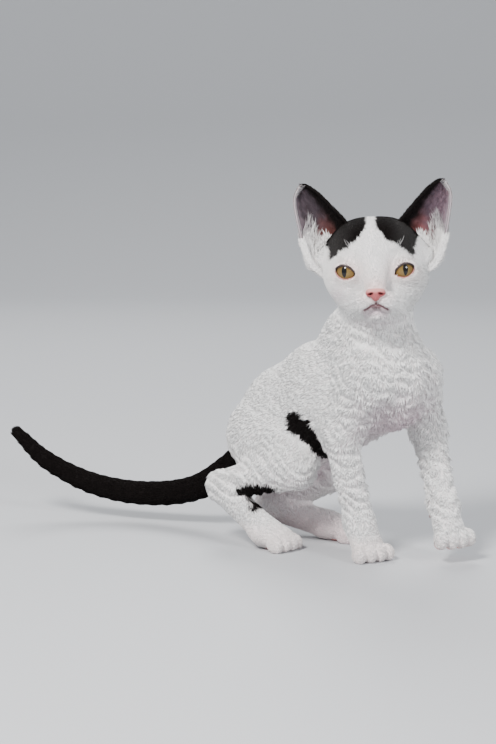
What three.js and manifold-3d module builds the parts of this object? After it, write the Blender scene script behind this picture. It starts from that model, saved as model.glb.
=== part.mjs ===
// A devon rex kitten of about twelve weeks at life size, stepping out with its left forepaw just off the floor.
// Millimetres, +Z up. The kitten walks towards -Y and its left side is towards +X. It looks round at its right.
// The origin is on the floor, under the middle of the kitten's box.
import * as THREE from "three";
import { mergeVertices } from "three/addons/utils/BufferGeometryUtils.js";
import Module from "manifold-3d";

const wasm = await Module();
wasm.setup();

// Driving sizes.
const SEAM = 0.3; // the thin cut between two neighbouring parts
const EYE_RADIUS = 8.4;
const LID_THICKNESS = 1.3;
const EAR_THICKNESS = 1.6;

const V = (x, y, z) => new THREE.Vector3(x, y, z);
const ORIGIN = V(0, 0, 0);
const towards = (a, b) => b.clone().sub(a).normalize();
const SIDES = [["right", -1], ["left", 1]];

// The skeleton: joint centres, with x = 0 on the mid plane of the chest.
const JOINT = {
  chestFront: V(0, -60, 118),
  chestBack: V(0, -10, 103),
  loin: V(1, 24, 83),
  rump: V(1, 48, 72),
  withers: V(-3, -29, 146),
  neckBase: V(-2, -54, 138),
  head: V(-13, -58, 198),
  right: {
    shoulder: V(-21, -62, 122),
    elbow: V(-23, -38, 84),
    wrist: V(-13, -47, 25),
    forepaw: V(-13, -54, 9),
    hip: V(-16, 38, 72),
    knee: V(-21, 0, 57),
    hock: V(-35, 55, 39.5),
    ball: V(-29, 20, 11),
    toes: V(-28, 9, 8),
  },
  left: {
    shoulder: V(20, -68, 122),
    elbow: V(35, -68, 84),
    wrist: V(24, -89, 36),
    forepaw: V(19, -98, 20),
    hip: V(17, 40, 71),
    knee: V(31, 4, 48),
    hock: V(12, 50, 20),
    ball: V(21, 6, 10),
    toes: V(24, -7, 8),
  },
  tail: [
    V(1, 50, 68),
    V(-3, 76, 44),
    V(-8, 106, 27),
    V(-19, 144, 21),
    V(-34, 180, 26),
    V(-50, 209, 41),
    V(-62, 227, 61),
  ],
};

// The head's own frame: u towards the kitten's left, v up, w the way that it looks.
const LOOK = V(-0.8, -0.593, 0.088).normalize();
const HEAD_ROLL = 0.042;
const HEAD_U = V(0, 0, 1).cross(LOOK).normalize().applyAxisAngle(LOOK, HEAD_ROLL);
const HEAD_V = LOOK.clone().cross(HEAD_U);
const headWay = (u, v, w) =>
  V(0, 0, 0).addScaledVector(HEAD_U, u).addScaledVector(HEAD_V, v).addScaledVector(LOOK, w);
const inHead = (u, v, w) => headWay(u, v, w).add(JOINT.head);

// A mass of flesh: an ellipse of half-widths [across, deep] carried from one point to another.
// It's rounded at both ends, and it runs into its neighbours over the width of its blend.
function mass(from, to, start, end, blend, across = V(1, 0, 0)) {
  const axis = towards(from, to);
  const side = across.clone().addScaledVector(axis, -across.dot(axis)).normalize();
  const deep = axis.clone().cross(side);
  return { from, axis, side, deep, length: from.distanceTo(to), start, end, blend };
}

// An ellipsoid given by its centre, its three half-widths and its three ways.
function egg(at, [rx, ry, rz], blend, side, deep, axis) {
  return { from: at, axis, side, deep, length: 0, start: [rx, ry], end: [rx, ry], blend, cap: rz };
}

const headEgg = (u, v, w, radii, blend) => egg(inHead(u, v, w), radii, blend, HEAD_U, HEAD_V, LOOK);

const offset = new THREE.Vector3();

// About how far a point is outside a mass, and negative inside it.
function outside(m, p) {
  offset.subVectors(p, m.from);
  let along = offset.dot(m.axis);
  const x = offset.dot(m.side);
  const y = offset.dot(m.deep);
  const share = m.length > 0 ? Math.min(Math.max(along / m.length, 0), 1) : 0;
  along -= share * m.length;
  const rx = m.start[0] + (m.end[0] - m.start[0]) * share;
  const ry = m.start[1] + (m.end[1] - m.start[1]) * share;
  const rz = m.cap ?? (rx + ry) / 2;
  const inner = Math.hypot(x / rx, y / ry, along / rz);
  const slope = Math.hypot(x / (rx * rx), y / (ry * ry), along / (rz * rz));
  return slope > 1e-6 ? (inner * (inner - 1)) / slope : -Math.min(rx, ry);
}

// The lesser of two distances, rounded where they are alike.
function rounded(a, b, blend) {
  const near = Math.max(blend - Math.abs(a - b), 0) / blend;
  return Math.min(a, b) - (near * near * blend) / 4;
}

// Four toes in a fan before the middle of a paw. The two middle toes reach further than the outer ones.
function toes(at, ahead, spread, [width, height, reach], drop) {
  const across = V(0, 0, 1).cross(ahead).normalize();
  const up = ahead.clone().cross(across);
  return [-1.5, -0.5, 0.5, 1.5].map((step) => {
    const middle = at
      .clone()
      .addScaledVector(across, step * spread)
      .addScaledVector(ahead, 3.4 - 1.5 * Math.abs(step))
      .addScaledVector(up, -drop - 0.5 * Math.abs(step));
    const way = ahead.clone().addScaledVector(across, step * 0.13).normalize();
    const side = across.clone().addScaledVector(way, -across.dot(way)).normalize();
    return egg(middle, [width, height, reach], 1.8, side, way.clone().cross(side), way);
  });
}

const PAW_WAY = {
  right: { fore: V(-0.34, -0.94, 0), hind: V(-0.05, -1, 0) },
  left: { fore: V(-0.3, -0.8, -0.5).normalize(), hind: V(0.22, -0.97, 0) },
};

function foreleg(side, sign) {
  const j = JOINT[side];
  const out = V(sign, 0, 0);
  const way = PAW_WAY[side].fore;
  const sole = side === "left" ? 0 : 3.4;
  return [
    mass(V(sign * 13, -42, 130), j.shoulder, [10, 19], [14, 16], 14, out),
    mass(j.shoulder, j.elbow, [14, 17], [11.5, 12.5], 12, out),
    mass(j.elbow, j.wrist, [11.5, 12], [10, 10], 7, out),
    mass(j.wrist, j.forepaw, [10.5, 9.5], [13, 9], 7, out),
    ...toes(j.forepaw.clone().addScaledVector(way, 5), way, 7, [4.6, 6.2, 7], sole),
  ];
}

function hindLeg(side, sign) {
  const j = JOINT[side];
  const out = V(sign, 0, 0);
  const way = PAW_WAY[side].hind;
  return [
    mass(V(sign * 14, 46, 74), V(sign * 18, 20, 64), [14, 20], [14, 23], 14, out),
    mass(j.hip, j.knee, [14, 19], [12, 14], 14, out),
    mass(j.knee, j.hock, [12, 14], [8.2, 9.5], 8, out),
    mass(j.hock, j.ball, [9.3, 10.2], [10, 9.5], 6, out),
    mass(j.ball, j.toes, [11.5, 8.5], [12, 8], 6, out),
    ...toes(j.toes.clone().addScaledVector(way, 3), way, 6.2, [4.2, 6, 7], 2.6),
  ];
}

// The tail: a smooth bow through its joints, in short lengths that taper towards the tip.
const TAIL_RADII = [11, 10.6, 9.3, 8.7, 8.1, 7.2, 5];
const TAIL_LENGTHS = 24;
const tailLine = new THREE.CatmullRomCurve3(JOINT.tail);
const tailRadius = (share) => {
  const place = share * (TAIL_RADII.length - 1);
  const i = Math.min(Math.floor(place), TAIL_RADII.length - 2);
  return TAIL_RADII[i] + (TAIL_RADII[i + 1] - TAIL_RADII[i]) * (place - i);
};
const TAIL = Array.from({ length: TAIL_LENGTHS }, (_, i) => {
  const [from, to] = [i / TAIL_LENGTHS, (i + 1) / TAIL_LENGTHS];
  const [a, b] = [tailRadius(from), tailRadius(to)];
  return mass(tailLine.getPoint(from), tailLine.getPoint(to), [a, a], [b, b], 1);
});

const TORSO = [
  mass(JOINT.chestFront, JOINT.chestBack, [24, 31], [27, 36], 10),
  mass(JOINT.chestBack, JOINT.loin, [27, 35], [26, 36], 16),
  mass(JOINT.loin, JOINT.rump, [25, 33], [20, 23], 16),
  mass(JOINT.chestFront, JOINT.withers, [20, 20], [17, 17], 16),
  mass(JOINT.neckBase, inHead(0, -6, -16), [24, 25], [20, 21], 18),
];

const HEAD = [
  headEgg(0, 5, -8, [29, 25, 31], 12),
  headEgg(0, 10, 9, [21, 15, 15], 12),
];
for (const s of [1, -1]) {
  HEAD.push(
    headEgg(s * 18, -9, 2, [15.5, 13, 19], 10), // cheekbone
    headEgg(s * 14, -19, 8, [13, 12, 14], 9), // cheek
    mass(inHead(s * 14, 12, -10), inHead(s * 33, 4, -11), [13, 18], [6, 10], 10, HEAD_V), // root of the ear
  );
}
HEAD.push(
  headEgg(0, -26, 2, [19, 11, 19], 9), // throat
  mass(inHead(0, 3, 20), inHead(0, -16, 32), [9, 8], [7, 6.5], 9, HEAD_U), // bridge of the nose
  headEgg(6.5, -25.3, 28.5, [8.6, 7.2, 8.5], 4), // whisker pads
  headEgg(-6.5, -25.3, 28.5, [8.6, 7.2, 8.5], 4),
  headEgg(0, -32.5, 24, [8.6, 5.6, 8], 2.5), // chin
);

const distance = (masses, p, start = 1e3) =>
  masses.reduce((least, m) => rounded(least, outside(m, p), m.blend), start);

const trunk = (p) => rounded(distance(TORSO, p), distance(HEAD, p), 16);

// Seams between the parts: the part before the plane, the part beyond it, a point on it, and the way across.
const mitre = (a, b, c) => towards(a, b).add(towards(b, c)).normalize();
const seams = [
  ["neck", "head", inHead(0, -22, -24), headWay(0, 0.9, 0.43)],
  ["chest", "neck", V(-2, -52, 143), V(-0.1, -0.28, 0.95)],
  ["chest", "loin", JOINT.chestBack, V(0, 0.91, -0.42)],
  ["loin", "rump", JOINT.loin, V(0, 0.88, -0.48)],
  ["right_thigh", "left_thigh", ORIGIN, V(1, 0, 0)],
  ["right_upper_arm", "left_upper_arm", ORIGIN, V(1, 0, 0)],
  ["tail_root", "tail_middle", JOINT.tail[2], mitre(...JOINT.tail.slice(1, 4))],
  ["tail_middle", "tail_tip", JOINT.tail[4], mitre(...JOINT.tail.slice(3, 6))],
];
for (const [side] of SIDES) {
  const j = JOINT[side];
  seams.push(
    [side + "_upper_arm", side + "_forearm", j.elbow, mitre(j.shoulder, j.elbow, j.wrist)],
    [side + "_forearm", side + "_forepaw", j.wrist, mitre(j.elbow, j.wrist, j.forepaw)],
    [side + "_thigh", side + "_shank", j.knee, mitre(j.hip, j.knee, j.hock)],
    [side + "_shank", side + "_metatarsus", j.hock, mitre(j.knee, j.hock, j.ball)],
    [side + "_metatarsus", side + "_hindpaw", j.ball, mitre(j.hock, j.ball, j.toes)],
  );
}
for (const seam of seams) seam[3].normalize();

// The flesh of one part. Rays stop a little past each of its own seams.
const PAST = 9;
function fleshOf(name, masses, grown = 0) {
  const own = seams.filter(([before, beyond]) => before === name || beyond === name);
  const planes = own.map(([before, , at, way]) => {
    const outwards = before === name ? way : way.clone().negate();
    return { outwards, level: outwards.dot(at) + PAST };
  });
  return (p) => {
    const value = masses ? distance(masses, p) : trunk(p);
    return planes.reduce((most, { outwards, level }) => Math.max(most, outwards.dot(p) - level), value) - grown;
  };
}

// How far a ray goes before it leaves a field.
function reach(from, direction, field) {
  const p = new THREE.Vector3();
  const at = (r) => field(p.copy(from).addScaledVector(direction, r));
  let near = 0;
  let far = 0;
  for (let value = at(0); value < 0 && far < 120; value = at(far)) {
    near = far;
    far += Math.max(0.5, -value * 0.6);
  }
  for (let i = 0; i < 12; i++) {
    const middle = (near + far) / 2;
    if (at(middle) < 0) near = middle;
    else far = middle;
  }
  return Math.max((near + far) / 2, 0.02);
}

// A closed solid from points in rings, with one point more at each end.
function ringed(rings, start, end) {
  const sides = rings[0].length;
  const points = [...rings.flat(), start, end];
  const triangles = [];
  const last = rings.length - 1;
  for (let j = 0; j < sides; j++) {
    const k = (j + 1) % sides;
    triangles.push(points.length - 2, k, j);
    triangles.push(points.length - 1, last * sides + j, last * sides + k);
    for (let i = 0; i < last; i++) {
      const [a, b, c, d] = [i * sides + j, i * sides + k, (i + 1) * sides + j, (i + 1) * sides + k];
      if (points[a].distanceTo(points[d]) < points[b].distanceTo(points[c])) triangles.push(a, b, d, a, d, c);
      else triangles.push(a, b, c, b, d, c);
    }
  }
  return solid(new THREE.BufferGeometry().setFromPoints(points).setIndex(triangles));
}

function solid(geometry) {
  const bare = geometry.clone();
  for (const name of Object.keys(bare.attributes)) {
    if (name !== "position") bare.deleteAttribute(name);
  }
  const merged = mergeVertices(bare, 1e-4);
  return new wasm.Manifold(
    new wasm.Mesh({
      numProp: 3,
      vertProperties: merged.attributes.position.array,
      triVerts: new Uint32Array(merged.index.array),
    }),
  );
}

// A closed skin round a line inside a field. Rings of rays leave the line square to it and stop at the surface.
// At each end further rings turn towards the line's own direction. Turns may be closer together on one side.
function skin({ from, to = from, axis = towards(from, to), rings, sides, ends = [3, 3], across, turnAt, line, field }) {
  const side = (across ?? V(1, 0, 0)).clone();
  side.addScaledVector(axis, -side.dot(axis)).normalize();
  const deep = axis.clone().cross(side);
  const stations = [];
  for (let i = 1; i <= ends[0]; i++) stations.push([0, (i / (ends[0] + 1) - 1) * (Math.PI / 2)]);
  for (let i = 0; i <= rings; i++) stations.push([rings ? i / rings : 0, 0]);
  for (let i = 1; i <= ends[1]; i++) stations.push([1, (i / (ends[1] + 1)) * (Math.PI / 2)]);
  const cast = (centre, direction) => centre.clone().addScaledVector(direction, reach(centre, direction, field));
  const grid = stations.map(([share, tilt]) => {
    const centre = line ? line(share) : from.clone().lerp(to, share);
    return Array.from({ length: sides }, (_, i) => {
      const turn = turnAt ? turnAt(i / sides) : (2 * Math.PI * i) / sides;
      const direction = side
        .clone()
        .multiplyScalar(Math.cos(turn) * Math.cos(tilt))
        .addScaledVector(deep, Math.sin(turn) * Math.cos(tilt))
        .addScaledVector(axis, Math.sin(tilt));
      return cast(centre, direction);
    });
  });
  return ringed(grid, cast(from, axis.clone().negate()), cast(to, axis));
}

// A great box that fills one side of a plane.
function halfSpace(at, facing) {
  const size = 600;
  const box = new THREE.BoxGeometry(size, size, size).translate(0, 0, size / 2);
  box.applyQuaternion(new THREE.Quaternion().setFromUnitVectors(V(0, 0, 1), facing));
  return solid(box.translate(at.x, at.y, at.z));
}

const parts = {};
const TRUNK_PARTS = ["neck", "chest", "loin", "rump"];
const rooms = {}; // what each limb part takes out of the trunk

function piece(name, from, to, rings, sides, ends, masses, line) {
  parts[name] = skin({ from, to, rings, sides, ends, line, field: fleshOf(name, masses) });
  if (masses) rooms[name] = skin({ from, to, rings, sides, ends, line, field: fleshOf(name, masses, 0.32) });
}

// A point further along the line from one joint to the next, or before it.
const beyond = (a, b, length) => b.clone().addScaledVector(towards(a, b), length);
const { chestFront, chestBack, loin, rump, tail } = JOINT;

piece("neck", V(-3, -55, 136), inHead(0, -6, -8), 6, 22, [1, 1]);
piece("chest", V(0, -65, 122), beyond(chestFront, chestBack, 10), 11, 24, [6, 1]);
piece("loin", beyond(loin, chestBack, 10), beyond(chestBack, loin, 10), 8, 24, [1, 1]);
piece("rump", beyond(rump, loin, 10), rump, 7, 22, [1, 5]);
for (const [side, sign] of SIDES) {
  const j = JOINT[side];
  const fore = foreleg(side, sign);
  const hind = hindLeg(side, sign);
  piece(side + "_upper_arm", j.shoulder, j.elbow, 6, 16, [4, 3], fore);
  piece(side + "_forearm", j.elbow, j.wrist, 12, 14, [2, 2], fore);
  piece(side + "_forepaw", j.wrist, j.forepaw, 4, 22, [2, 7], fore);
  piece(side + "_thigh", j.hip, j.knee, 6, 18, [5, 4], hind);
  piece(side + "_shank", j.knee, j.hock, 10, 14, [2, 3], hind);
  piece(side + "_metatarsus", j.hock, j.ball, 8, 14, [3, 2], hind);
  piece(side + "_hindpaw", j.ball, j.toes, 4, 20, [2, 6], hind);
}
for (const [name, first, last, rings, ends] of [
  ["tail_root", 1, 2, 6, [2, 1]],
  ["tail_middle", 2, 4, 9, [1, 1]],
  ["tail_tip", 4, 6, 8, [1, 3]],
]) {
  const line = (share) => tailLine.getPoint((first + (last - first) * share) / (tail.length - 1));
  piece(name, tail[first], tail[last], rings, 12, ends, TAIL, line);
}

// The head is cast from its middle, with its poles at the crown and the throat and more rays towards the face.
function headSkin(grown) {
  const inner = fleshOf("head");
  return skin({
    from: inHead(0, -5, 3),
    axis: HEAD_V,
    rings: 0,
    sides: 52,
    ends: [17, 11],
    across: HEAD_U,
    turnAt: (share) => 2 * Math.PI * share + Math.PI / 2 - 0.62 * Math.sin(2 * Math.PI * share),
    field: (p) => inner(p) - grown,
  });
}
parts.head = headSkin(0);
const headRoom = headSkin(0.32);

// Each eye is the front half of a ball in a socket of its own size. The lids are a bowl round it, cut open in
// an almond whose outer corner is the higher.
const EYE = { u: 17, v: -5, w: 16.6, turn: 0.3, half: [7.1, 4.6], slant: 0.26 };

function halfBall(radius, at, facing, segments) {
  const ball = new THREE.SphereGeometry(radius, segments, segments / 2);
  const front = halfSpace(V(0, -0.25 * EYE_RADIUS, 0), V(0, -1, 0));
  const turn = new THREE.Quaternion().setFromUnitVectors(V(0, 1, 0), facing);
  return moved(solid(ball).subtract(front), turn, at);
}

function moved(made, turn, at) {
  const matrix = new THREE.Matrix4().compose(at, turn, V(1, 1, 1));
  return made.transform(matrix.elements);
}

for (const [side, sign] of SIDES) {
  const at = inHead(sign * EYE.u, EYE.v, EYE.w);
  const facing = headWay(sign * Math.sin(EYE.turn), -0.03, Math.cos(EYE.turn)).normalize();
  parts[side + "_eye"] = halfBall(EYE_RADIUS, at, facing, 18);
  const bowl = halfBall(EYE_RADIUS + LID_THICKNESS, at, facing, 20);
  const socket = halfBall(EYE_RADIUS + 0.3, at, facing, 18);
  const across = headWay(sign, EYE.slant, 0).addScaledVector(facing, -sign * 0).normalize();
  const u = across.addScaledVector(facing, -across.dot(facing)).normalize();
  const v = facing.clone().cross(u).multiplyScalar(sign);
  const almond = new THREE.Shape(
    Array.from({ length: 20 }, (_, i) => {
      const turn = (2 * Math.PI * i) / 20;
      const [c, s] = [Math.cos(turn), Math.sin(turn)];
      return new THREE.Vector2(EYE.half[0] * c, EYE.half[1] * s * (1 - 0.28 * c * c) - 0.4 * c * c);
    }),
  );
  const cutter = new THREE.ExtrudeGeometry(almond, { depth: 20, bevelEnabled: false });
  const turn = new THREE.Quaternion().setFromRotationMatrix(
    new THREE.Matrix4().makeBasis(u.clone().multiplyScalar(sign), v, facing),
  );
  parts.head = parts.head.add(bowl).subtract(socket).subtract(moved(solid(cutter), turn, at));
}

// The nose: bare leather in a wedge, set in the tip of the muzzle, with a comma of a nostril on each side.
const NOSE = [
  headEgg(0, -18.4, 35.4, [5.9, 2.7, 4.2], 3),
  headEgg(0, -20.9, 35.9, [2.9, 3.5, 3.8], 2.5),
  headEgg(4.1, -19.3, 36.3, [2.2, 2, 2.9], 1.6),
  headEgg(-4.1, -19.3, 36.3, [2.2, 2, 2.9], 1.6),
];
const noseSkin = (grown) =>
  skin({
    from: inHead(0, -19.4, 35.6),
    axis: LOOK,
    rings: 0,
    sides: 16,
    ends: [1, 4],
    across: HEAD_U,
    field: (p) => distance(NOSE, p) - grown,
  });
parts.nose = noseSkin(0);
parts.head = parts.head.subtract(noseSkin(SEAM));
const nostril = new THREE.SphereGeometry(1, 8, 5);
for (const s of [1, -1]) {
  const turn = new THREE.Quaternion().setFromRotationMatrix(
    new THREE.Matrix4().makeBasis(headWay(s, -0.3, 0).normalize(), headWay(0.3 * s, 1, 0).normalize(), LOOK),
  );
  const stretched = solid(nostril.clone().scale(1.5, 0.85, 2));
  parts.nose = parts.nose.subtract(moved(stretched, turn, inHead(s * 3.3, -19.9, 39.1)));
}

// The line of the mouth: a shallow groove from under the nose, down to each corner between the lips.
const MOUTH = [[-7.4, -29.9], [-5, -28.6], [-2.2, -26.9], [0, -26.3], [2.2, -26.9], [5, -28.6], [7.4, -29.9]];
function groove(places, radius, steps) {
  const flesh = fleshOf("head");
  const onSkin = places.map(([u, v]) => {
    const from = inHead(u, v, 14);
    return from.addScaledVector(LOOK, reach(from, LOOK, flesh));
  });
  const line = new THREE.CatmullRomCurve3(onSkin);
  const rings = Array.from({ length: steps + 1 }, (_, i) => {
    const way = line.getTangent(i / steps);
    const side = LOOK.clone().addScaledVector(way, -LOOK.dot(way)).normalize();
    const deep = way.clone().cross(side);
    const wide = radius * Math.sin(Math.PI * (0.15 + (0.7 * i) / steps));
    return Array.from({ length: 5 }, (_, k) => {
      const turn = (2 * Math.PI * k) / 5;
      return line
        .getPoint(i / steps)
        .addScaledVector(side, wide * Math.cos(turn))
        .addScaledVector(deep, wide * Math.sin(turn));
    });
  });
  return ringed(rings, line.getPoint(0), line.getPoint(1));
}
parts.head = parts.head.subtract(groove(MOUTH, 0.8, 14));
parts.head = parts.head.subtract(groove([[0, -23.4], [0, -25], [0, -26.6]], 0.6, 3));

// The ears: one curved sheet each, from a wide cup at the root to a round tip. The inner edge rises from the
// crown, and the outer edge from beside the eye.
const EAR_INNER = [V(13, 20, 0), V(18, 28, 2.5), V(26.5, 37.5, 3), V(35, 46.5, 1), V(42, 51.5, -2), V(46.6, 52.3, -4)];
const EAR_OUTER = [V(31, -8, -4), V(40.5, 0, -1), V(45.5, 12.5, -1), V(48.6, 25, -2), V(51, 42, -4), V(47.5, 51.8, -4.5)];
const EAR_DEPTH = [13, 15, 14, 10, 5, 0.6];
const innerEdge = new THREE.CatmullRomCurve3(EAR_INNER);
const outerEdge = new THREE.CatmullRomCurve3(EAR_OUTER);

// A point of the sheet's middle: rise runs from the root to the tip, and sweep from the inner edge to the outer.
function earPoint(rise, sweep) {
  const place = rise * (EAR_DEPTH.length - 1);
  const step = Math.min(Math.floor(place), EAR_DEPTH.length - 2);
  const depth = EAR_DEPTH[step] + (EAR_DEPTH[step + 1] - EAR_DEPTH[step]) * (place - step);
  const turn = Math.PI * sweep;
  const p = innerEdge.getPoint(rise).lerp(outerEdge.getPoint(rise), (1 - Math.cos(turn)) / 2);
  return p.add(V(0, 0, -depth * Math.sin(turn) ** 0.9));
}

function ear(sign) {
  const [rises, sweeps] = [9, 10];
  const step = 1e-3;
  const rows = Array.from({ length: rises + 1 }, (_, i) => {
    const rise = Math.min((i / rises) * 0.985, 0.985);
    const faces = [-0.5, 0.5].map((half) =>
      Array.from({ length: sweeps + 1 }, (_, j) => {
        const sweep = 0.02 + (0.96 * j) / sweeps;
        const p = earPoint(rise, sweep);
        const alongRise = earPoint(rise + step, sweep).sub(p);
        const alongSweep = earPoint(rise, sweep + step).sub(p);
        const normal = alongRise.cross(alongSweep).normalize();
        const thick = EAR_THICKNESS * (1 - 0.35 * rise);
        p.addScaledVector(normal, half * thick);
        return inHead(sign * p.x, p.y, p.z);
      }),
    );
    return [...faces[0], ...faces[1].reverse()];
  });
  const rounds = sign > 0 ? rows : rows.map((row) => row.reverse());
  return closedSheet(rounds);
}

// A closed solid from rings that are each flat loops, with a strip of quads over the first and the last.
function closedSheet(rows) {
  const sides = rows[0].length;
  const points = rows.flat();
  const triangles = [];
  const half = sides / 2;
  for (let i = 0; i < rows.length - 1; i++) {
    for (let j = 0; j < sides; j++) {
      const k = (j + 1) % sides;
      const [a, b, c, d] = [i * sides + j, i * sides + k, (i + 1) * sides + j, (i + 1) * sides + k];
      if (j < half) triangles.push(a, b, c, b, d, c);
      else triangles.push(a, b, d, a, d, c);
    }
  }
  const end = (rows.length - 1) * sides;
  for (let j = 0; j < half - 1; j++) {
    const m = sides - 1 - j;
    triangles.push(j, m, j + 1, j + 1, m, m - 1);
    triangles.push(end + j, end + j + 1, end + m, end + j + 1, end + m - 1, end + m);
  }
  return solid(new THREE.BufferGeometry().setFromPoints(points).setIndex(triangles));
}

for (const [side, sign] of SIDES) {
  const made = ear(sign);
  parts[side + "_ear"] = made.subtract(headRoom);
}

for (const name of TRUNK_PARTS) {
  for (const room of Object.values(rooms)) parts[name] = parts[name].subtract(room);
}
for (const side of ["right", "left"]) parts[side + "_thigh"] = parts[side + "_thigh"].subtract(rooms.tail_root);
for (const [before, beyond, at, way] of seams) {
  const half = way.clone().multiplyScalar(SEAM / 2);
  parts[before] = parts[before].subtract(halfSpace(at.clone().sub(half), way));
  parts[beyond] = parts[beyond].subtract(halfSpace(at.clone().add(half), way.clone().negate()));
}

// Every standing sole ends flat on the floor.
const underFloor = halfSpace(ORIGIN, V(0, 0, -1));
for (const name of Object.keys(parts)) {
  parts[name] = parts[name].subtract(underFloor);
  parts[name] = parts[name].decompose().sort((a, b) => b.volume() - a.volume())[0];
}

// The middle of the box's base becomes the origin.
const box = new THREE.Box3();
for (const made of Object.values(parts)) {
  const { min, max } = made.boundingBox();
  box.expandByPoint(V(...min)).expandByPoint(V(...max));
}
const middle = box.getCenter(V(0, 0, 0)).setZ(box.min.z);

// Colours: white coat, black tail and ear backs, amber eyes, pink leather.
const WHITE = 0xece8e2;
const BLACK = 0x1c1816;
const COLOURS = {
  left_eye: [0x9a6a2a, 0.15],
  right_eye: [0x9a6a2a, 0.15],
  nose: [0xd79a92, 0.55],
  left_ear: [0x3a3030, 0.85],
  right_ear: [0x3a3030, 0.85],
  tail_root: [BLACK, 0.9],
  tail_middle: [BLACK, 0.9],
  tail_tip: [BLACK, 0.9],
};

const kitten = new THREE.Group();
for (const [name, made] of Object.entries(parts)) {
  const { numProp, vertProperties, triVerts } = made.getMesh();
  const geometry = new THREE.BufferGeometry();
  geometry.setAttribute("position", new THREE.BufferAttribute(vertProperties, numProp));
  geometry.setIndex(new THREE.BufferAttribute(triVerts, 1));
  geometry.translate(-middle.x, -middle.y, -middle.z);
  const [color, roughness] = COLOURS[name] ?? [WHITE, 0.9];
  const mesh = new THREE.Mesh(geometry, new THREE.MeshStandardMaterial({ color, roughness, metalness: 0 }));
  mesh.name = name;
  kitten.add(mesh);
}
export default kitten;
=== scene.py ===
import math
import bpy
import numpy as np
from mathutils import Matrix, Vector


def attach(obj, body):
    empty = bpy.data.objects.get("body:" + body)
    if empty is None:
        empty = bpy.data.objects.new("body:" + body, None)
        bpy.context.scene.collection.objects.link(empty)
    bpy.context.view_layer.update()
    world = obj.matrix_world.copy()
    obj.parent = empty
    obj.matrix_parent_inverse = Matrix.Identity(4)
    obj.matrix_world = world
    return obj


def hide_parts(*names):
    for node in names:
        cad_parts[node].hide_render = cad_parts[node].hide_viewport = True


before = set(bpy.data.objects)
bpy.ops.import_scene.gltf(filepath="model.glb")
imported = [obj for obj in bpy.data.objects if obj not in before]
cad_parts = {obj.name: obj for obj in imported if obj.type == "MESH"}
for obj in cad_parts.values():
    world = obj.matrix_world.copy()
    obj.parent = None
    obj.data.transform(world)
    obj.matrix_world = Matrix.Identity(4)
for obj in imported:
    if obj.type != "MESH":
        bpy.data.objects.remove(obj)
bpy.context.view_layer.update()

# The camera: it stands 1.4 m off at a kneeling person's eye height and looks slightly down on the kitten.
# Places are worked out in millimetres in the frame of the chest's mid plane, then moved to the box's middle.
MIDDLE = (-9.4772, 59.5712, 0)
CAMERA_PLACE = (-1120.585, -879.868, 319.675)
ELEVATION = math.radians(8)
AZIMUTH = math.radians(40)
SENSOR_HEIGHT = 36
FRAME_PIXELS = 744
FOCAL_PIXELS = 2121.2
level = math.cos(ELEVATION)
look = Vector((math.cos(AZIMUTH) * level, math.sin(AZIMUTH) * level, -math.sin(ELEVATION)))
rightwards = Vector((math.sin(AZIMUTH), -math.cos(AZIMUTH), 0))
upwards = rightwards.cross(look)
lens = bpy.data.cameras.new("camera")
lens.sensor_fit = "VERTICAL"
lens.sensor_height = SENSOR_HEIGHT
lens.lens = SENSOR_HEIGHT * FOCAL_PIXELS / FRAME_PIXELS
lens.clip_start = 0.05
camera = bpy.data.objects.new("camera", lens)
stand = (Vector(CAMERA_PLACE) - Vector(MIDDLE)) / 1000
camera.matrix_world = Matrix.Translation(stand) @ Matrix((rightwards, upwards, -look)).transposed().to_4x4()
bpy.context.scene.collection.objects.link(camera)
bpy.context.scene.camera = camera


# The kitten's flesh: muscle and fat in long masses along the bones, held under the skin. Each mass runs
# from one joint to the next and they round into each other. All of it is one field of distance, negative
# inside, that the skin is stretched over.
def vec(*xyz):
    """A place, a way or a colour as an array."""
    return np.array(xyz, float)


def unit(v):
    """Ways divided by their own length."""
    return v / np.maximum(np.linalg.norm(v, axis=-1, keepdims=True), 1e-9)


JOINT = dict(
    chest_front=vec(0, -60, 118), chest_back=vec(0, -10, 103), loin=vec(1, 24, 83), rump=vec(1, 48, 72),
    withers=vec(-3, -29, 146), neck_base=vec(-2, -54, 138), head=vec(-13, -58, 198),
)
LEG = {
    "right": dict(shoulder=vec(-21, -62, 122), elbow=vec(-23, -38, 84), wrist=vec(-13, -47, 25),
                  forepaw=vec(-13, -54, 9), hip=vec(-16, 38, 72), knee=vec(-21, 0, 57),
                  hock=vec(-35, 55, 39.5), ball=vec(-29, 20, 11), toes=vec(-28, 9, 8),
                  fore=vec(-0.34, -0.94, 0), hind=vec(-0.05, -1, 0)),
    "left": dict(shoulder=vec(20, -68, 122), elbow=vec(35, -68, 84), wrist=vec(24, -89, 36),
                 forepaw=vec(19, -98, 20), hip=vec(17, 40, 71), knee=vec(31, 4, 48),
                 hock=vec(12, 50, 20), ball=vec(21, 6, 10), toes=vec(24, -7, 8),
                 fore=unit(vec(-0.3, -0.8, -0.5)), hind=vec(0.22, -0.97, 0)),
}
SIDES = (("right", -1), ("left", 1))
TAIL_LINE = np.array([(1, 50, 68), (-3, 76, 44), (-8, 106, 27), (-19, 144, 21), (-34, 180, 26), (-50, 209, 41),
                      (-62, 227, 61)], float)
TAIL_RADII = [11, 10.6, 9.3, 8.7, 8.1, 7.2, 5]

LOOK = unit(vec(-0.8, -0.593, 0.088))
ROLL = 0.042
level_u = unit(np.cross(vec(0, 0, 1), LOOK))
level_v = np.cross(LOOK, level_u)
HEAD_U = level_u * math.cos(ROLL) + level_v * math.sin(ROLL)
HEAD_V = np.cross(LOOK, HEAD_U)
HEAD_AXES = np.array([HEAD_U, HEAD_V, LOOK])


def in_head(u, v, w):
    """The point u to the kitten's left, v up and w ahead of the head's middle."""
    return JOINT["head"] + u * HEAD_U + v * HEAD_V + w * LOOK


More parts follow.
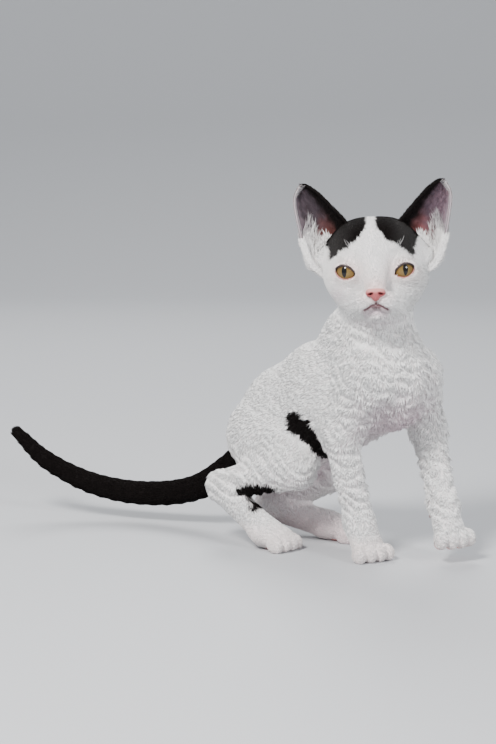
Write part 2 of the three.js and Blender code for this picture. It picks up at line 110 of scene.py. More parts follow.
def mass(a, b, start, end, blend, across=vec(1, 0, 0)):
    """An ellipse of half-widths (across, deep) carried from a to b and rounded at both ends."""
    axis = unit(b - a)
    side = unit(across - across.dot(axis) * axis)
    return dict(at=a, axes=np.array([side, np.cross(axis, side), axis]), length=np.linalg.norm(b - a),
                start=start, end=end, blend=blend, cap=None)


def egg(at, radii, blend, axes):
    """An ellipsoid with its three half-widths along the rows of axes."""
    return dict(at=at, axes=axes, length=0.0, start=radii[:2], end=radii[:2], blend=blend, cap=radii[2])


def outside(m, x, y, z):
    """About how far points are outside a mass: k (k - 1) / |q / r^2|, where k = |q / r|, q is the place in it
    from the nearest place on its line, and r its half-widths there."""
    dx, dy, dz = x - m["at"][0], y - m["at"][1], z - m["at"][2]
    side, deep, along = (a[0] * dx + a[1] * dy + a[2] * dz for a in m["axes"])
    share = np.clip(along / m["length"], 0, 1) if m["length"] else 0.0
    along = along - share * m["length"]
    rx = m["start"][0] + (m["end"][0] - m["start"][0]) * share
    ry = m["start"][1] + (m["end"][1] - m["start"][1]) * share
    rz = m["cap"] or (rx + ry) / 2
    k = np.sqrt((side / rx) ** 2 + (deep / ry) ** 2 + (along / rz) ** 2)
    slope = np.sqrt((side / rx**2) ** 2 + (deep / ry**2) ** 2 + (along / rz**2) ** 2)
    return k * (k - 1) / np.maximum(slope, 1e-6)


def rounded(a, b, blend):
    """The lesser of two distances, rounded by a parabola where they differ by less than the blend."""
    near = np.maximum(blend - np.abs(a - b), 0) / blend
    return np.minimum(a, b) - near * near * blend / 4


def toes(at, ahead, spread, radii, drop):
    """Four eggs in a fan, the two in the middle further ahead."""
    across = unit(np.cross(vec(0, 0, 1), ahead))
    up = np.cross(ahead, across)
    fan = []
    for step in (-1.5, -0.5, 0.5, 1.5):
        middle = at + across * step * spread + ahead * (3.4 - 1.5 * abs(step)) - up * (drop + 0.5 * abs(step))
        way = unit(ahead + across * step * 0.13)
        side = unit(across - across.dot(way) * way)
        fan.append(egg(middle, radii, 1.8, np.array([side, np.cross(way, side), way])))
    return fan


def foreleg(side, sign):
    """Masses down a foreleg from the shoulder blade, and its toes."""
    j, out = LEG[side], vec(sign, 0, 0)
    return [
        mass(vec(sign * 13, -42, 130), j["shoulder"], (10, 19), (14, 16), 14, out),
        mass(j["shoulder"], j["elbow"], (14, 17), (11.5, 12.5), 12, out),
        mass(j["elbow"], j["wrist"], (11.5, 12), (10, 10), 7, out),
        mass(j["wrist"], j["forepaw"], (10.5, 9.5), (13, 9), 7, out),
        *toes(j["forepaw"] + 5 * j["fore"], j["fore"], 7, (4.6, 6.2, 7), 0 if side == "left" else 3.4),
    ]


def hind_leg(side, sign):
    """Masses down a hind leg from the haunch, and its toes."""
    j, out = LEG[side], vec(sign, 0, 0)
    return [
        mass(vec(sign * 14, 46, 74), vec(sign * 18, 20, 64), (14, 20), (14, 23), 14, out),
        mass(j["hip"], j["knee"], (14, 19), (12, 14), 14, out),
        mass(j["knee"], j["hock"], (12, 14), (8.5, 10.5), 8, out),
        mass(j["hock"], j["ball"], (9.5, 11), (10, 9.5), 6, out),
        mass(j["ball"], j["toes"], (11.5, 8.5), (12, 8), 6, out),
        *toes(j["toes"] + 3 * j["hind"], j["hind"], 6.2, (4.2, 6, 7), 2.6),
    ]


TORSO = [
    mass(JOINT["chest_front"], JOINT["chest_back"], (24, 31), (27, 36), 10),
    mass(JOINT["chest_back"], JOINT["loin"], (27, 35), (26, 36), 16),
    mass(JOINT["loin"], JOINT["rump"], (25, 33), (20, 23), 16),
    mass(JOINT["chest_front"], JOINT["withers"], (20, 20), (17, 17), 16),
    mass(JOINT["neck_base"], in_head(0, -6, -16), (24, 25), (20, 21), 18),
]


def through(points, t):
    """A smooth line through points: each stretch is a cubic whose ends point along its neighbours."""
    p = np.asarray(points, float)
    p = np.concatenate([2 * p[:1] - p[1:2], p, 2 * p[-1:] - p[-2:-1]])
    place = np.clip(t, 0, 1) * (len(points) - 1)
    i = np.minimum(place.astype(int), len(points) - 2)
    f = (place - i)[..., None]
    a, b, c, d = p[i], p[i + 1], p[i + 2], p[i + 3]
    return 0.5 * (2 * b + (c - a) * f + (2 * a - 5 * b + 4 * c - d) * f**2 + (3 * b - a - 3 * c + d) * f**3)


TAIL_LENGTHS = 24
bow = through(TAIL_LINE, np.linspace(0, 1, TAIL_LENGTHS + 1))
taper = np.interp(np.linspace(0, len(TAIL_RADII) - 1, TAIL_LENGTHS + 1), range(len(TAIL_RADII)), TAIL_RADII)
TAIL = [mass(a, b, (r, r), (s, s), 1) for a, b, r, s in zip(bow, bow[1:], taper, taper[1:])]


def head_egg(u, v, w, radii, blend):
    """An egg at u, v, w of the head, its half-widths along the head's own ways."""
    return egg(in_head(u, v, w), radii, blend, HEAD_AXES)


HEAD = [head_egg(0, 5, -8, (29, 25, 31), 12), head_egg(0, 10, 9, (21, 15, 15), 12)]
for s in (1, -1):
    HEAD += [
        head_egg(s * 18, -9, 2, (15.5, 13, 19), 10),
        head_egg(s * 14, -19, 8, (13, 12, 14), 9),
        mass(in_head(s * 14, 12, -10), in_head(s * 33, 4, -11), (13, 18), (6, 10), 10, HEAD_V),
    ]
HEAD += [
    head_egg(0, -26, 2, (19, 11, 19), 9),
    mass(in_head(0, 3, 20), in_head(0, -16, 32), (9, 8), (7, 6.5), 9, HEAD_U),
    head_egg(6.5, -25.3, 28.5, (8.6, 7.2, 8.5), 4),
    head_egg(-6.5, -25.3, 28.5, (8.6, 7.2, 8.5), 4),
    head_egg(0, -32.5, 24, (8.6, 5.6, 8), 2.5),
]

EYE_RADIUS = 8.4
EYE_HALF = (7.0, 4.7)
LID = 1.15
EYE_GAP = 0.15
EYES = {}
for side_name, s in SIDES:
    facing = unit(math.sin(0.3) * s * HEAD_U - 0.03 * HEAD_V + math.cos(0.3) * LOOK)
    slanted = s * HEAD_U + 0.26 * HEAD_V
    eye_u = unit(slanted - slanted.dot(facing) * facing)
    EYES[side_name] = (in_head(s * 17, -5, 16.6), eye_u, s * np.cross(facing, eye_u), facing)


def lid_height(square, up):
    """Half the height of the eye's opening, less by the square of how far across it is, and less above."""
    return EYE_HALF[1] * (1 - 0.28 * square) * np.where(up > 0, 0.87, 1.05)


MOUTH = [(-7.4, -29.9), (-5, -28.6), (-2.2, -26.9), (0, -26.3), (2.2, -26.9), (5, -28.6), (7.4, -29.9)]
FAR = 50.0


def lip_line(u, v, w):
    """How far points of the muzzle are to the side of the line where the lips meet, or of the cleft above it:
    the least distance to its stretches, in u and v."""
    least = np.full(np.broadcast(u, v, w).shape, FAR)
    for (a, b), (c, d) in [*zip(MOUTH, MOUTH[1:]), (MOUTH[3], (0, -22))]:
        share = np.clip(((u - a) * (c - a) + (v - b) * (d - b)) / ((c - a) ** 2 + (d - b) ** 2), 0, 1)
        least = np.minimum(least, np.hypot(u - a - share * (c - a), v - b - share * (d - b)))
    return np.where(w > 14, least, FAR)


WAVE_LENGTH = 6.2


def ripples(x, y, z):
    """The coat's waves, from -1 to 1: a sine of the way along the coat, pushed and broken by slower sines."""
    way = -0.9 * z + 0.45 * y - 0.15 * np.abs(x)
    drift = 2.3 * np.sin(x / 4.3 + y / 8.0) + 1.9 * np.sin(y / 5.3 - z / 7.9 + 1.3)
    drift = drift + 1.5 * np.sin(x / 3.1 - z / 5.2)
    breaks = 0.55 + 0.45 * np.sin(x / 3.3 + y / 4.1 + 2.0) * np.sin(y / 5.1 - x / 3.7 + z / 9.1)
    return np.sin((way + drift) * 2 * np.pi / WAVE_LENGTH) * breaks


def waviness(x, y, z):
    """Where the coat ripples: most on neck, chest and legs, less on flank and back, not on face, feet or tail."""
    below_head = np.clip((168 - z) / 14, 0, 1)
    above_feet = np.clip((z - 24) / 14, 0, 1)
    off_tail = np.clip((70 - y) / 14, 0, 1)
    flank = np.clip((y + 46) / 24, 0, 1) * np.clip((z - 50) / 20, 0, 1)
    return below_head * above_feet * off_tail * (1 - 0.78 * flank)


COAT_DEPTH = 1.3
HEAD_COAT_DEPTH = 0.45
RIPPLE_HEIGHT = 0.42
SOLE = 0.25


def flesh(xs, ys, zs, grid=True):
    """The skin's field, on the crossing of three rows of places or at listed points.

    Trunk and limbs are rounded into each other, sunk by the depth of the coat, and rippled where it's wavy."""
    shape = (len(xs), len(ys), len(zs)) if grid else (len(xs),)

    def gather(masses, reach):
        """The rounded least distance to the masses, each worked out only in the box that it reaches."""
        out = np.full(shape, 40.0, np.float32)
        for m in masses:
            a, b = m["at"], m["at"] + m["length"] * m["axes"][2]
            pad = max(*m["start"], *m["end"], m["cap"] or 0) + reach
            low, high = np.minimum(a, b) - pad, np.maximum(a, b) + pad
            if grid:
                cut = [np.searchsorted(r, (l, h)) for r, l, h in zip((xs, ys, zs), low, high)]
                part = tuple(slice(*c) for c in cut)
                if 0 in out[part].shape:
                    continue
                x, y, z = xs[part[0], None, None], ys[None, part[1], None], zs[None, None, part[2]]
            else:
                within = [(r > l) & (r < h) for r, l, h in zip((xs, ys, zs), low, high)]
                part = np.nonzero(within[0] & within[1] & within[2])[0]
                x, y, z = xs[part], ys[part], zs[part]
            out[part] = rounded(out[part], outside(m, x, y, z), m["blend"])
        return out

    x, y, z = (xs[:, None, None], ys[None, :, None], zs[None, None, :]) if grid else (xs, ys, zs)
    trunk = gather(TORSO, 20)
    head = gather(HEAD, 18)
    field = trunk
    for masses, blend in ((foreleg("right", -1), 12), (foreleg("left", 1), 12), (hind_leg("right", -1), 12),
                          (hind_leg("left", 1), 12), (TAIL, 6)):
        field = rounded(field, rounded(trunk, gather(masses, 16), blend), 1.5)
    depth = COAT_DEPTH - 0.9 * np.clip((30 - z) / 16, 0, 1)
    height = RIPPLE_HEIGHT + 0.22 * np.clip((90 - z) / 20, 0, 1)
    field = field + depth - height * ripples(x, y, z) * waviness(x, y, z)
    field = rounded(field, head + HEAD_COAT_DEPTH, 14)
    for at, eye_u, eye_v, facing in EYES.values():
        offset = (x - at[0], y - at[1], z - at[2])
        across, up, ahead = (sum(o * a for o, a in zip(offset, way)) for way in (eye_u, eye_v, facing))
        ball = np.sqrt(across**2 + up**2 + ahead**2)
        bowl = np.where(ahead > -6, ball - (EYE_RADIUS + LID), 20)
        field = rounded(field, bowl, 3.0)
        c = across / EYE_HALF[0]
        bulge = np.clip(c * c, 0, 1)
        almond = np.sqrt(c**2 + ((up + 0.4 * bulge) / lid_height(bulge, up)) ** 2)
        opening = np.where(ahead > 0, (almond - 1) * 4.5, 20)
        field = np.maximum(field, -np.minimum(opening, ball - (EYE_RADIUS + EYE_GAP)))
    place = [sum((q - o) * a for q, o, a in zip((x, y, z), JOINT["head"], way)) for way in HEAD_AXES]
    groove = np.maximum(lip_line(*place) - 0.35, -field - 1.0)
    field = -rounded(-field, groove, 0.7)
    return np.maximum(field, SOLE - z)


# The skin: one unbroken sheet over the whole kitten, thin and pink, with white and black underfur grown in it.
# It lies loose on the flesh and is fast at the lids, the lips and the nose. It's stretched over the field by a
# surface net, with one corner in each cell that the surface crosses.
def surface_net(field, xs, ys, zs):
    """Corners at the mean of the crossings on each cell's edges, and a face round each edge that crosses."""
    inside = field < 0
    ends = [(i, i - 1 or None) for i in (0, 1)]
    corners = [inside[slice(*i), slice(*j), slice(*k)] for i in ends for j in ends for k in ends]
    total = sum(corner.astype(np.int8) for corner in corners)
    cells = np.argwhere((total > 0) & (total < 8))
    number = np.full(total.shape, -1, np.int64)
    number[tuple(cells.T)] = np.arange(len(cells))
    places, count = np.zeros((len(cells), 3)), np.zeros(len(cells))
    for axis in range(3):
        step = np.eye(3, dtype=int)[axis]
        others = [a for a in range(3) if a != axis]
        for i in (0, 1):
            for j in (0, 1):
                first = cells.copy()
                first[:, others[0]] += i
                first[:, others[1]] += j
                f0, f1 = field[tuple(first.T)], field[tuple((first + step).T)]
                crosses = (f0 < 0) != (f1 < 0)
                share = np.where(crosses, f0 / np.where(crosses, f0 - f1, 1), 0)
                places += (first + share[:, None] * step) * crosses[:, None]
                count += crosses
    places /= count[:, None]
    points = np.stack([np.interp(places[:, a], np.arange(len(r)), r) for a, r in enumerate((xs, ys, zs))], 1)
    faces = []
    for axis in range(3):
        step = np.eye(3, dtype=int)[axis]
        b, c = np.eye(3, dtype=int)[(axis + 1) % 3], np.eye(3, dtype=int)[(axis + 2) % 3]
        low = tuple(slice(0, -1) if a == axis else slice(1, -1) for a in range(3))
        high = tuple(slice(1, None) if a == axis else slice(1, -1) for a in range(3))
        edge = np.argwhere(inside[low] != inside[high]) + (1 - step)
        quad = np.stack([number[tuple((edge - o).T)] for o in (b + c, c, 0 * b, b)], 1)
        flip = ~inside[tuple(edge.T)]
        quad[flip] = quad[flip][:, ::-1]
        faces.append(quad)
    return points, np.concatenate(faces)


def graded(*stretches):
    """A row of places whose spacing changes from stretch to stretch: (start, end, spacing)."""
    rows = [np.linspace(a, b, max(int(round((b - a) / gap)), 1), endpoint=False) for a, b, gap in stretches]
    return np.concatenate(rows + [np.array([stretches[-1][1]])])


FINE = 1.0
grid_x = graded((-72, 54, 1.05 * FINE))
grid_y = graded((-124, -14, 0.95 * FINE), (-14, 70, 1.45 * FINE), (70, 238, 2.0 * FINE))
grid_z = graded((-2, 30, 1.15 * FINE), (30, 150, 1.3 * FINE), (150, 236, 0.92 * FINE))
skin_points, skin_faces = surface_net(flesh(grid_x, grid_y, grid_z), grid_x, grid_y, grid_z)


def slope(points):
    """The field and its slope at points, by differences of a quarter of a millimetre each way."""
    at = lambda p: flesh(*p.T, grid=False)
    return at(points), np.stack([(at(points + d) - at(points - d)) / 0.5 for d in 0.25 * np.eye(3)], 1)


here, rise = slope(skin_points)
steep = np.maximum((rise**2).sum(1), 0.3)
skin_points -= np.clip(here / steep, -0.5, 0.5)[:, None] * rise


def placed(points):
    """Millimetres round the chest's mid plane to metres round the box's middle."""
    return (points - MIDDLE) / 1000


def new_mesh(name, points, faces, material, smooth=True, colour=None, uv=None, uv_name="UVMap"):
    """A mesh object from arrays of points in metres and of faces, with a colour and a UV for each point."""
    mesh = bpy.data.meshes.new(name)
    corners = np.asarray(faces, np.int32)
    mesh.vertices.add(len(points))
    mesh.vertices.foreach_set("co", np.asarray(points, np.float32).ravel())
    mesh.loops.add(corners.size)
    mesh.loops.foreach_set("vertex_index", corners.ravel())
    mesh.polygons.add(len(corners))
    mesh.polygons.foreach_set("loop_start", np.arange(0, corners.size, corners.shape[1], dtype=np.int32))
    mesh.polygons.foreach_set("use_smooth", np.full(len(corners), smooth))
    if colour is not None:
        layer = mesh.color_attributes.new("coat", "FLOAT_COLOR", "POINT")
        rgba = np.column_stack([colour, np.ones(len(colour))])
        layer.data.foreach_set("color", rgba.astype(np.float32).ravel())
    if uv is not None:
        mesh.uv_layers.new(name=uv_name).data.foreach_set("uv", uv[corners.ravel()].astype(np.float32).ravel())
    mesh.update(calc_edges=True)
    mesh.validate()
    mesh.materials.append(material)
    piece = bpy.data.objects.new(name, mesh)
    bpy.context.scene.collection.objects.link(piece)
    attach(piece, "root")
    return piece


def head_place(points):
    """The u, v and w of points in the head's frame."""
    return (points - JOINT["head"]) @ HEAD_AXES.T


def soft(value, width):
    """0 below minus the width, 1 above it, and smooth between."""
    t = np.clip(value / width / 2 + 0.5, 0, 1)
    return t * t * (3 - 2 * t)


WHITE = vec(0.92, 0.91, 0.90)
BLACK = vec(0.0045, 0.003, 0.0028)
PINK = vec(0.80, 0.53, 0.49)
# Mauve is skin showing through. It is also laid as painted shade under the belly, inside the left thigh, on the
# right cheek and under the chin.
MAUVE = vec(0.60, 0.47, 0.52)
LIP_LINE = vec(0.09, 0.02, 0.03)


def bell(*terms):
    """1 where the terms are 0, falling off round there: e to minus the sum of their squares."""
    power = 0
    for term in terms:
        power = power - term**2
    return np.exp(power)


def wander(p, size):
    """A slow wandering number about -1 to 1, from sines along three slanted ways."""
    x, y, z = p.T / size
    waves = np.sin(1.3 * x + 0.7 * y + 2.1 * z) + np.sin(2.3 * y - 1.1 * z + 0.9)
    return (waves + np.sin(1.9 * z + 1.7 * x - 0.6 * y)) / 2.4


def off_stretch(p, a, b):
    """How far along the stretch from a to b the nearest place to each point is, and how far off that place is."""
    share = np.clip((p - a) @ (b - a) / ((b - a) @ (b - a)), 0, 1)
    return share, np.linalg.norm(p - a - share[:, None] * (b - a), axis=1)


def patch(p, places, widths):
    """How far inside a side-on patch points are: a line through places in y and z, with a half-width at each."""
    inside = np.full(len(p), -9.0)
    places = np.array(places, float)
    for a, b, r, q in zip(places, places[1:], widths, widths[1:]):
        share, off = off_stretch(p[:, 1:], a, b)
        inside = np.maximum(inside, r + (q - r) * share - off)
    return inside


BLAZE_MIDDLE = -1.7
FLANK_PATCH = (((-6.5, 89.5), (-12, 86.5), (-16.8, 77), (-17.5, 61)), (8.2, 7.8, 5.4, 2.4))
# The hock's bar and wedge are partly black hair and partly painted shadow in the notch between shank and
# metatarsus.
HOCK_BAR_AND_SHADE = (((35, 39), (25, 40.5), (13, 41.5)), (3.4, 5.0, 2.8))
HOCK_WEDGE_AND_SHADE = (((30, 39), (27, 30)), (6.0, 3.2))


def blackness_and_hock_shade(p):
    """Where the coat is black: two caps on the skull, the tail, a flank patch and one in the hollow of the hock,
    which is partly black hair and partly painted shadow in the notch between shank and metatarsus.

    Each is how far points are inside a plain form, with a wandering edge, and the greatest of them counts."""
    u, v, w = head_place(p).T
    edge = wander(p, 2.2) + wander(p + 7, 0.9) * 0.5
    side = np.abs(u - BLAZE_MIDDLE)
    blaze = side - 3.0 - 0.12 * np.clip(27 - v, 0, 10) + edge * 0.5
    brow = v - np.interp(side, [4.2, 7, 10, 14, 20, 25, 30], [21.5, 17.2, 14, 10.9, 7.8, 3.6, 0]) + edge
    front = np.minimum.reduce([blaze, brow, 27.5 - side + edge + 0.4 * np.clip(v - 8, 0, 20)])
    nape = np.minimum.reduce([blaze + 2, v + 4 - 0.35 * (w + 40), w + 34])
    cap = np.where(w > -6, front, np.maximum(nape, -9))
    cap = np.where(np.linalg.norm(head_place(p), axis=1) < 48, cap, -9)
    line = np.array([(1, 57, 64), *TAIL_LINE[1:]])
    off_tail = np.minimum.reduce([off_stretch(p, a, b)[1] for a, b in zip(line, line[1:])])
    tail = np.where(p[:, 1] > 62, 15 - off_tail, -9) + edge
    flank = np.where(p[:, 0] < -7, patch(p, *FLANK_PATCH) + edge * 0.8, -9)
    # The hock patch: black hair and painted shadow in the notch between shank and metatarsus.
    hock = np.where(p[:, 0] < -15, np.maximum(patch(p, *HOCK_BAR_AND_SHADE), patch(p, *HOCK_WEDGE_AND_SHADE)) + edge, -9)
    return soft(np.maximum.reduce([cap, tail, flank, hock]), 0.9)


def coat_colour(p, normal, bare=0.0):
    """The coat's colour at points: white, black patches, pink or mauve where the skin shows through, and mauve
    painted shade under the belly, inside the left thigh, on the right cheek and under the chin. Each tint's
    strength falls off as a bell round its own place on the head or trunk."""
    u, v, w = head_place(p).T
    white = np.tile(WHITE, (len(p), 1))
    chest = bell((p[:, 0] + 6) / 21, (p[:, 1] + 78) / 22, (p[:, 2] - 99) / 18)
    # Painted shade: mauve where the skin and coat face downwards under the trunk.
    underside_shade = soft(-normal[:, 2] - 0.45, 0.35) * soft(p[:, 2] - 44, 10) * soft(120 - p[:, 2], 10)
    # Painted shade: mauve inside the left thigh and shank, under the flank.
    inner = soft(20 - p[:, 0], 12) * soft(p[:, 0] - 3, 6) * soft(62 - p[:, 2], 12) * soft(p[:, 1] + 30, 10)
    # pale is the share of mauve: real skin on the chest and where bare, and painted shade under the belly and
    # inside the left thigh.
    pale = 0.55 * chest + 0.45 * underside_shade + 0.45 * inner + 0.14 * bare
    muzzle = bell(u / 8, (v + 17) / 7) * soft(w - 26, 4)
    lips = bell(u / 9, (v + 30.4 + 0.03 * u * u) / 2.4) * soft(w - 25, 3)
    # Painted shade: mauve on the right cheek and in a band under the chin.
    cheek_chin_shade = bell((u + 24) / 5, (v + 20) / 4) * (w > 5)
    cheek_chin_shade = cheek_chin_shade + 0.9 * bell(u / 17, (v + 37.5) / 3.0) * soft(w - 2, 10)
    dots = np.zeros(len(p))
    for row in range(3):
        for step in range(4):
            high = v + 22.6 + 1.6 * row - 0.25 * step
            for s in (1, -1):
                dots += bell((u - s * (5.5 + 1.9 * step)) / 0.45, high / 0.4)
    dots *= soft(w - 25, 3)
    eye_skin = sum(bell((u - s * 17) / 9.5, (v + 5) / 7) for s in (1, -1)) * soft(w - 14, 4)
    toe_gaps = soft(16 - p[:, 2], 6) * 0.16
    pink = np.clip(0.6 * muzzle + 0.5 * eye_skin + toe_gaps + 0.1 * bare, 0, 0.8)
    colour = white + (MAUVE - white) * np.clip(pale + 0.85 * lips + 0.4 * cheek_chin_shade, 0, 0.85)[:, None]
    colour = colour + (PINK - colour) * pink[:, None]
    line = np.clip(bell(lip_line(u, v, w) / 1.1) * soft(w - 20, 4), 0, 1)
    line = line * np.where(v < -25, 1.0, 0.45)
    line = np.maximum(line, 0.9 * bell((u / 5) ** 2, (v + 27.7 + 0.04 * u * u) / 1.3) * soft(w - 25, 3))
    colour = colour + (LIP_LINE - colour) * np.maximum(line, 0.35 * np.clip(dots, 0, 1))[:, None]
    fade = 1 - 0.03 * soft(np.abs(u - BLAZE_MIDDLE) - 17, 8) * (w > 0) * (p[:, 2] > 185)
    return colour + (BLACK - colour) * (blackness_and_hock_shade(p) * fade)[:, None]


normal = unit(rise)
skin_colour = coat_colour(skin_points, normal, bare=1.0)


def fill(tree, node, **sockets):
    """Each socket named takes the value given, or a link from the output given."""
    for name, value in sockets.items():
        socket = node.inputs[name.replace("_", " ")]
        if isinstance(value, bpy.types.NodeSocket):
            tree.links.new(value, socket)
        else:
            socket.default_value = value
    return node


def painted(name, **sockets):
    """A material in the piece's own colours, with the values given on the shader's sockets."""
    material = bpy.data.materials.new(name)
    material.use_nodes = True
    tree = material.node_tree
    paint = tree.nodes.new("ShaderNodeAttribute")
    paint.attribute_name = "coat"
    shader = fill(tree, tree.nodes["Principled BSDF"], Base_Color=paint.outputs["Color"], **sockets)
    return material, tree, shader, paint


def fur_material(name, fine, bump):
    """Coat from the piece's own colours, mottled a little, with hairs as bump, both from one noise."""
    material, tree, shader, paint = painted(name, Roughness=0.72, Sheen_Weight=0.35, Sheen_Roughness=0.5,
                                            Specular_IOR_Level=0.08)
    place = tree.nodes.new("ShaderNodeTexCoord")
    hairs = fill(tree, tree.nodes.new("ShaderNodeTexNoise"), Vector=place.outputs["Object"], Scale=fine, Detail=6)
    ramp = fill(tree, tree.nodes.new("ShaderNodeMapRange"), Value=hairs.outputs["Fac"], To_Min=0.86, To_Max=1.08)
    shade = tree.nodes.new("ShaderNodeVectorMath")
    shade.operation = "SCALE"
    fill(tree, shade, Vector=paint.outputs["Color"], Scale=ramp.outputs["Result"])
    push = fill(tree, tree.nodes.new("ShaderNodeBump"), Height=hairs.outputs["Fac"], Strength=bump, Distance=0.0006)
    fill(tree, shader, Base_Color=shade.outputs["Vector"], Sheen_Tint=paint.outputs["Color"],
         Normal=push.outputs["Normal"])
    return material


skin_fur = fur_material("undercoat", 1400, 0.5)
skin = new_mesh("skin", placed(skin_points), skin_faces, skin_fur, colour=skin_colour)
flesh_nodes = ["head", "neck", "chest", "loin", "rump", "tail_root", "tail_middle", "tail_tip"]
for side_name in ("right", "left"):
    flesh_nodes += [side_name + "_" + n for n in
                    ("upper_arm", "forearm", "forepaw", "thigh", "shank", "metatarsus", "hindpaw")]
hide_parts(*flesh_nodes)


# The floor and the light: a pale seamless paper sheet that lies flat and curves up behind, three soft round
# lamps on stands out of view, and a pale room.
def studio_sheet():
    """A sheet 8 m wide carried along a line: flat, a quarter turn of 1 m radius, then upright."""
    turn = np.linspace(0, np.pi / 2, 24)
    far = np.concatenate([[-3.0, 1.6], 1.6 + np.sin(turn), [2.6]])
    high = np.concatenate([[0.0, 0.0], 1 - np.cos(turn), [4.0]])
    wide = np.linspace(-4, 4, 5)
    ahead = np.array((math.cos(AZIMUTH), math.sin(AZIMUTH), 0))
    aside = np.array((math.sin(AZIMUTH), -math.cos(AZIMUTH), 0))
    points = (far[:, None, None] * ahead + wide[None, :, None] * aside + high[:, None, None] * vec(0, 0, 1))
    n = np.arange(len(far) * len(wide)).reshape(len(far), len(wide))
    faces = np.stack([n[:-1, :-1], n[:-1, 1:], n[1:, 1:], n[1:, :-1]], -1).reshape(-1, 4)
    return points.reshape(-1, 3), faces


sheet_points, sheet_faces = studio_sheet()
paper = bpy.data.materials.new("studio_paper")
paper.use_nodes = True
fill(paper.node_tree, paper.node_tree.nodes["Principled BSDF"], Base_Color=(0.52, 0.53, 0.55, 1), Roughness=0.55)
floor = bpy.data.objects.new("studio_floor", bpy.data.meshes.new("studio_floor"))
floor.data.from_pydata(sheet_points.tolist(), [], sheet_faces.tolist())
floor.data.polygons.foreach_set("use_smooth", np.ones(len(sheet_faces), bool))
floor.data.materials.append(paper)
bpy.context.scene.collection.objects.link(floor)


def soft_lamp(name, place, target, size, power, tint):
    """A round lamp, its axis turned along the way from its place to its target."""
    lamp = bpy.data.lights.new(name, "AREA")
    lamp.shape = "DISK"
    lamp.size = size
    lamp.energy = power
    lamp.color = tint
    holder = bpy.data.objects.new(name, lamp)
    way = Vector(target) - Vector(place)
    turned = way.to_track_quat("-Z", "Y").to_matrix().to_4x4()
    holder.matrix_world = Matrix.Translation(Vector(place)) @ turned
    bpy.context.scene.collection.objects.link(holder)


soft_lamp("key_lamp", (-1.3, -0.25, 1.35), (0, -0.05, 0.12), 0.5, 50, (1, 0.985, 0.965))
soft_lamp("fill_lamp", (-0.2, -1.6, 0.8), (0, -0.05, 0.12), 0.4, 15, (0.98, 0.985, 1))
soft_lamp("back_lamp", (0.9, 0.9, 1.3), (0, 0, 0.12), 0.9, 18, (1, 1, 1))
room = bpy.data.worlds.new("room")
room.use_nodes = True
fill(room.node_tree, room.node_tree.nodes["Background"], Color=(0.93, 0.96, 1.0, 1), Strength=0.6)
bpy.context.scene.world = room


# The ears: very large, wide at the root and set low, each one thin sheet of gristle and skin in a deep cup.
# The inner edge grows from the crown and the outer edge from beside the eye. The cup is nearly bare.
EAR_INNER = [(13, 20, 0), (18, 28, 2.5), (26.5, 37.5, 3), (35, 46.5, 1), (42, 51.5, -2), (46.6, 52.3, -4)]
EAR_OUTER = [(31, -8, -4), (40.5, 0, -1), (45.5, 12.5, -1), (48.6, 25, -2), (51, 42, -4), (47.5, 51.8, -4.5)]
EAR_DEPTH = [13, 15, 14, 10, 5, 0.6]
EAR_THICK = 1.35
EAR_RISES, EAR_SWEEPS = 64, 48
EAR_CUPS = {"right": vec(0.055, 0.042, 0.05), "left": vec(0.12, 0.08, 0.10)}
EAR_OUTER_SKIN = vec(0.42, 0.34, 0.38)
EAR_TIP = vec(0.56, 0.53, 0.54)
EAR_BLACK = vec(0.008, 0.006, 0.006)
EAR_FLAP = vec(0.82, 0.78, 0.77)
EAR_RIM = vec(0.5, 0.46, 0.47)


def ear_middle(rise, sweep):
    """The sheet's middle: from the inner to the outer edge by half a cosine, sunk back by the cup's depth times
    a sine, with a shallow fold near the outer edge."""
    inner, outer = through(EAR_INNER, rise), through(EAR_OUTER, rise)
    share = ((1 - np.cos(np.pi * sweep)) / 2)[..., None]
    depth = np.interp(rise * 5, range(6), EAR_DEPTH) * np.sin(np.pi * sweep) ** 0.9
    depth = depth - 1.1 * bell((sweep - 0.8) / 0.06) * np.clip(1 - rise * 1.6, 0, 1)
    return inner + (outer - inner) * share - depth[..., None] * vec(0, 0, 1)


def ear_colours(rise, sweep, inside, wobble, cup):
    """Inside: black beside the inner edge, mauve in the cup, pink at its foot, pale at the tip and outer edge.
    Behind: black, white at the foot of the outer edge, grey on the rim. Each lies over the last by a ramp."""
    ramp = lambda value, width: soft(value, width)[..., None]
    centre = np.array(np.broadcast_to(cup, (*rise.shape, 3)))
    rosy = cup * vec(1.5, 0.85, 0.7) + vec(0.05, 0.01, 0.005)
    centre += (rosy - centre) * ramp(0.36 - rise + 0.04 * wobble, 0.16)
    centre += (EAR_OUTER_SKIN - centre) * 0.75 * ramp(sweep - 0.80 + 0.04 * wobble, 0.16)
    centre += (EAR_TIP - centre) * 0.85 * ramp(rise - 0.88 + 0.02 * wobble, 0.07)
    centre += (EAR_BLACK - centre) * ramp(0.40 - 0.20 * rise - sweep + 0.03 * wobble, 0.09)
    centre += (EAR_FLAP - centre) * ramp(np.minimum(sweep - 0.80, 0.42 - rise), 0.05)
    centre *= 1 + 0.16 * np.sin(41 * sweep + 5 * rise + 2 * wobble)[..., None]
    back = np.array(np.broadcast_to(BLACK, (*rise.shape, 3)))
    back += (WHITE - back) * ramp(np.minimum(sweep - 0.72, 0.46 - rise) + 0.02 * wobble, 0.04)
    rim = np.minimum(np.maximum(rise - 0.95, sweep - 0.955), rise - 0.46)
    back += (EAR_RIM - back) * 0.8 * ramp(rim, 0.02)
    return np.where(inside[..., None], centre, back)


def wall(n):
    """The four-cornered faces between neighbouring rows of corners, each row closed on itself."""
    m = np.roll(n, -1, 1)
    return np.stack([n[:-1], m[:-1], m[1:], n[1:]], -1).reshape(-1, 4)


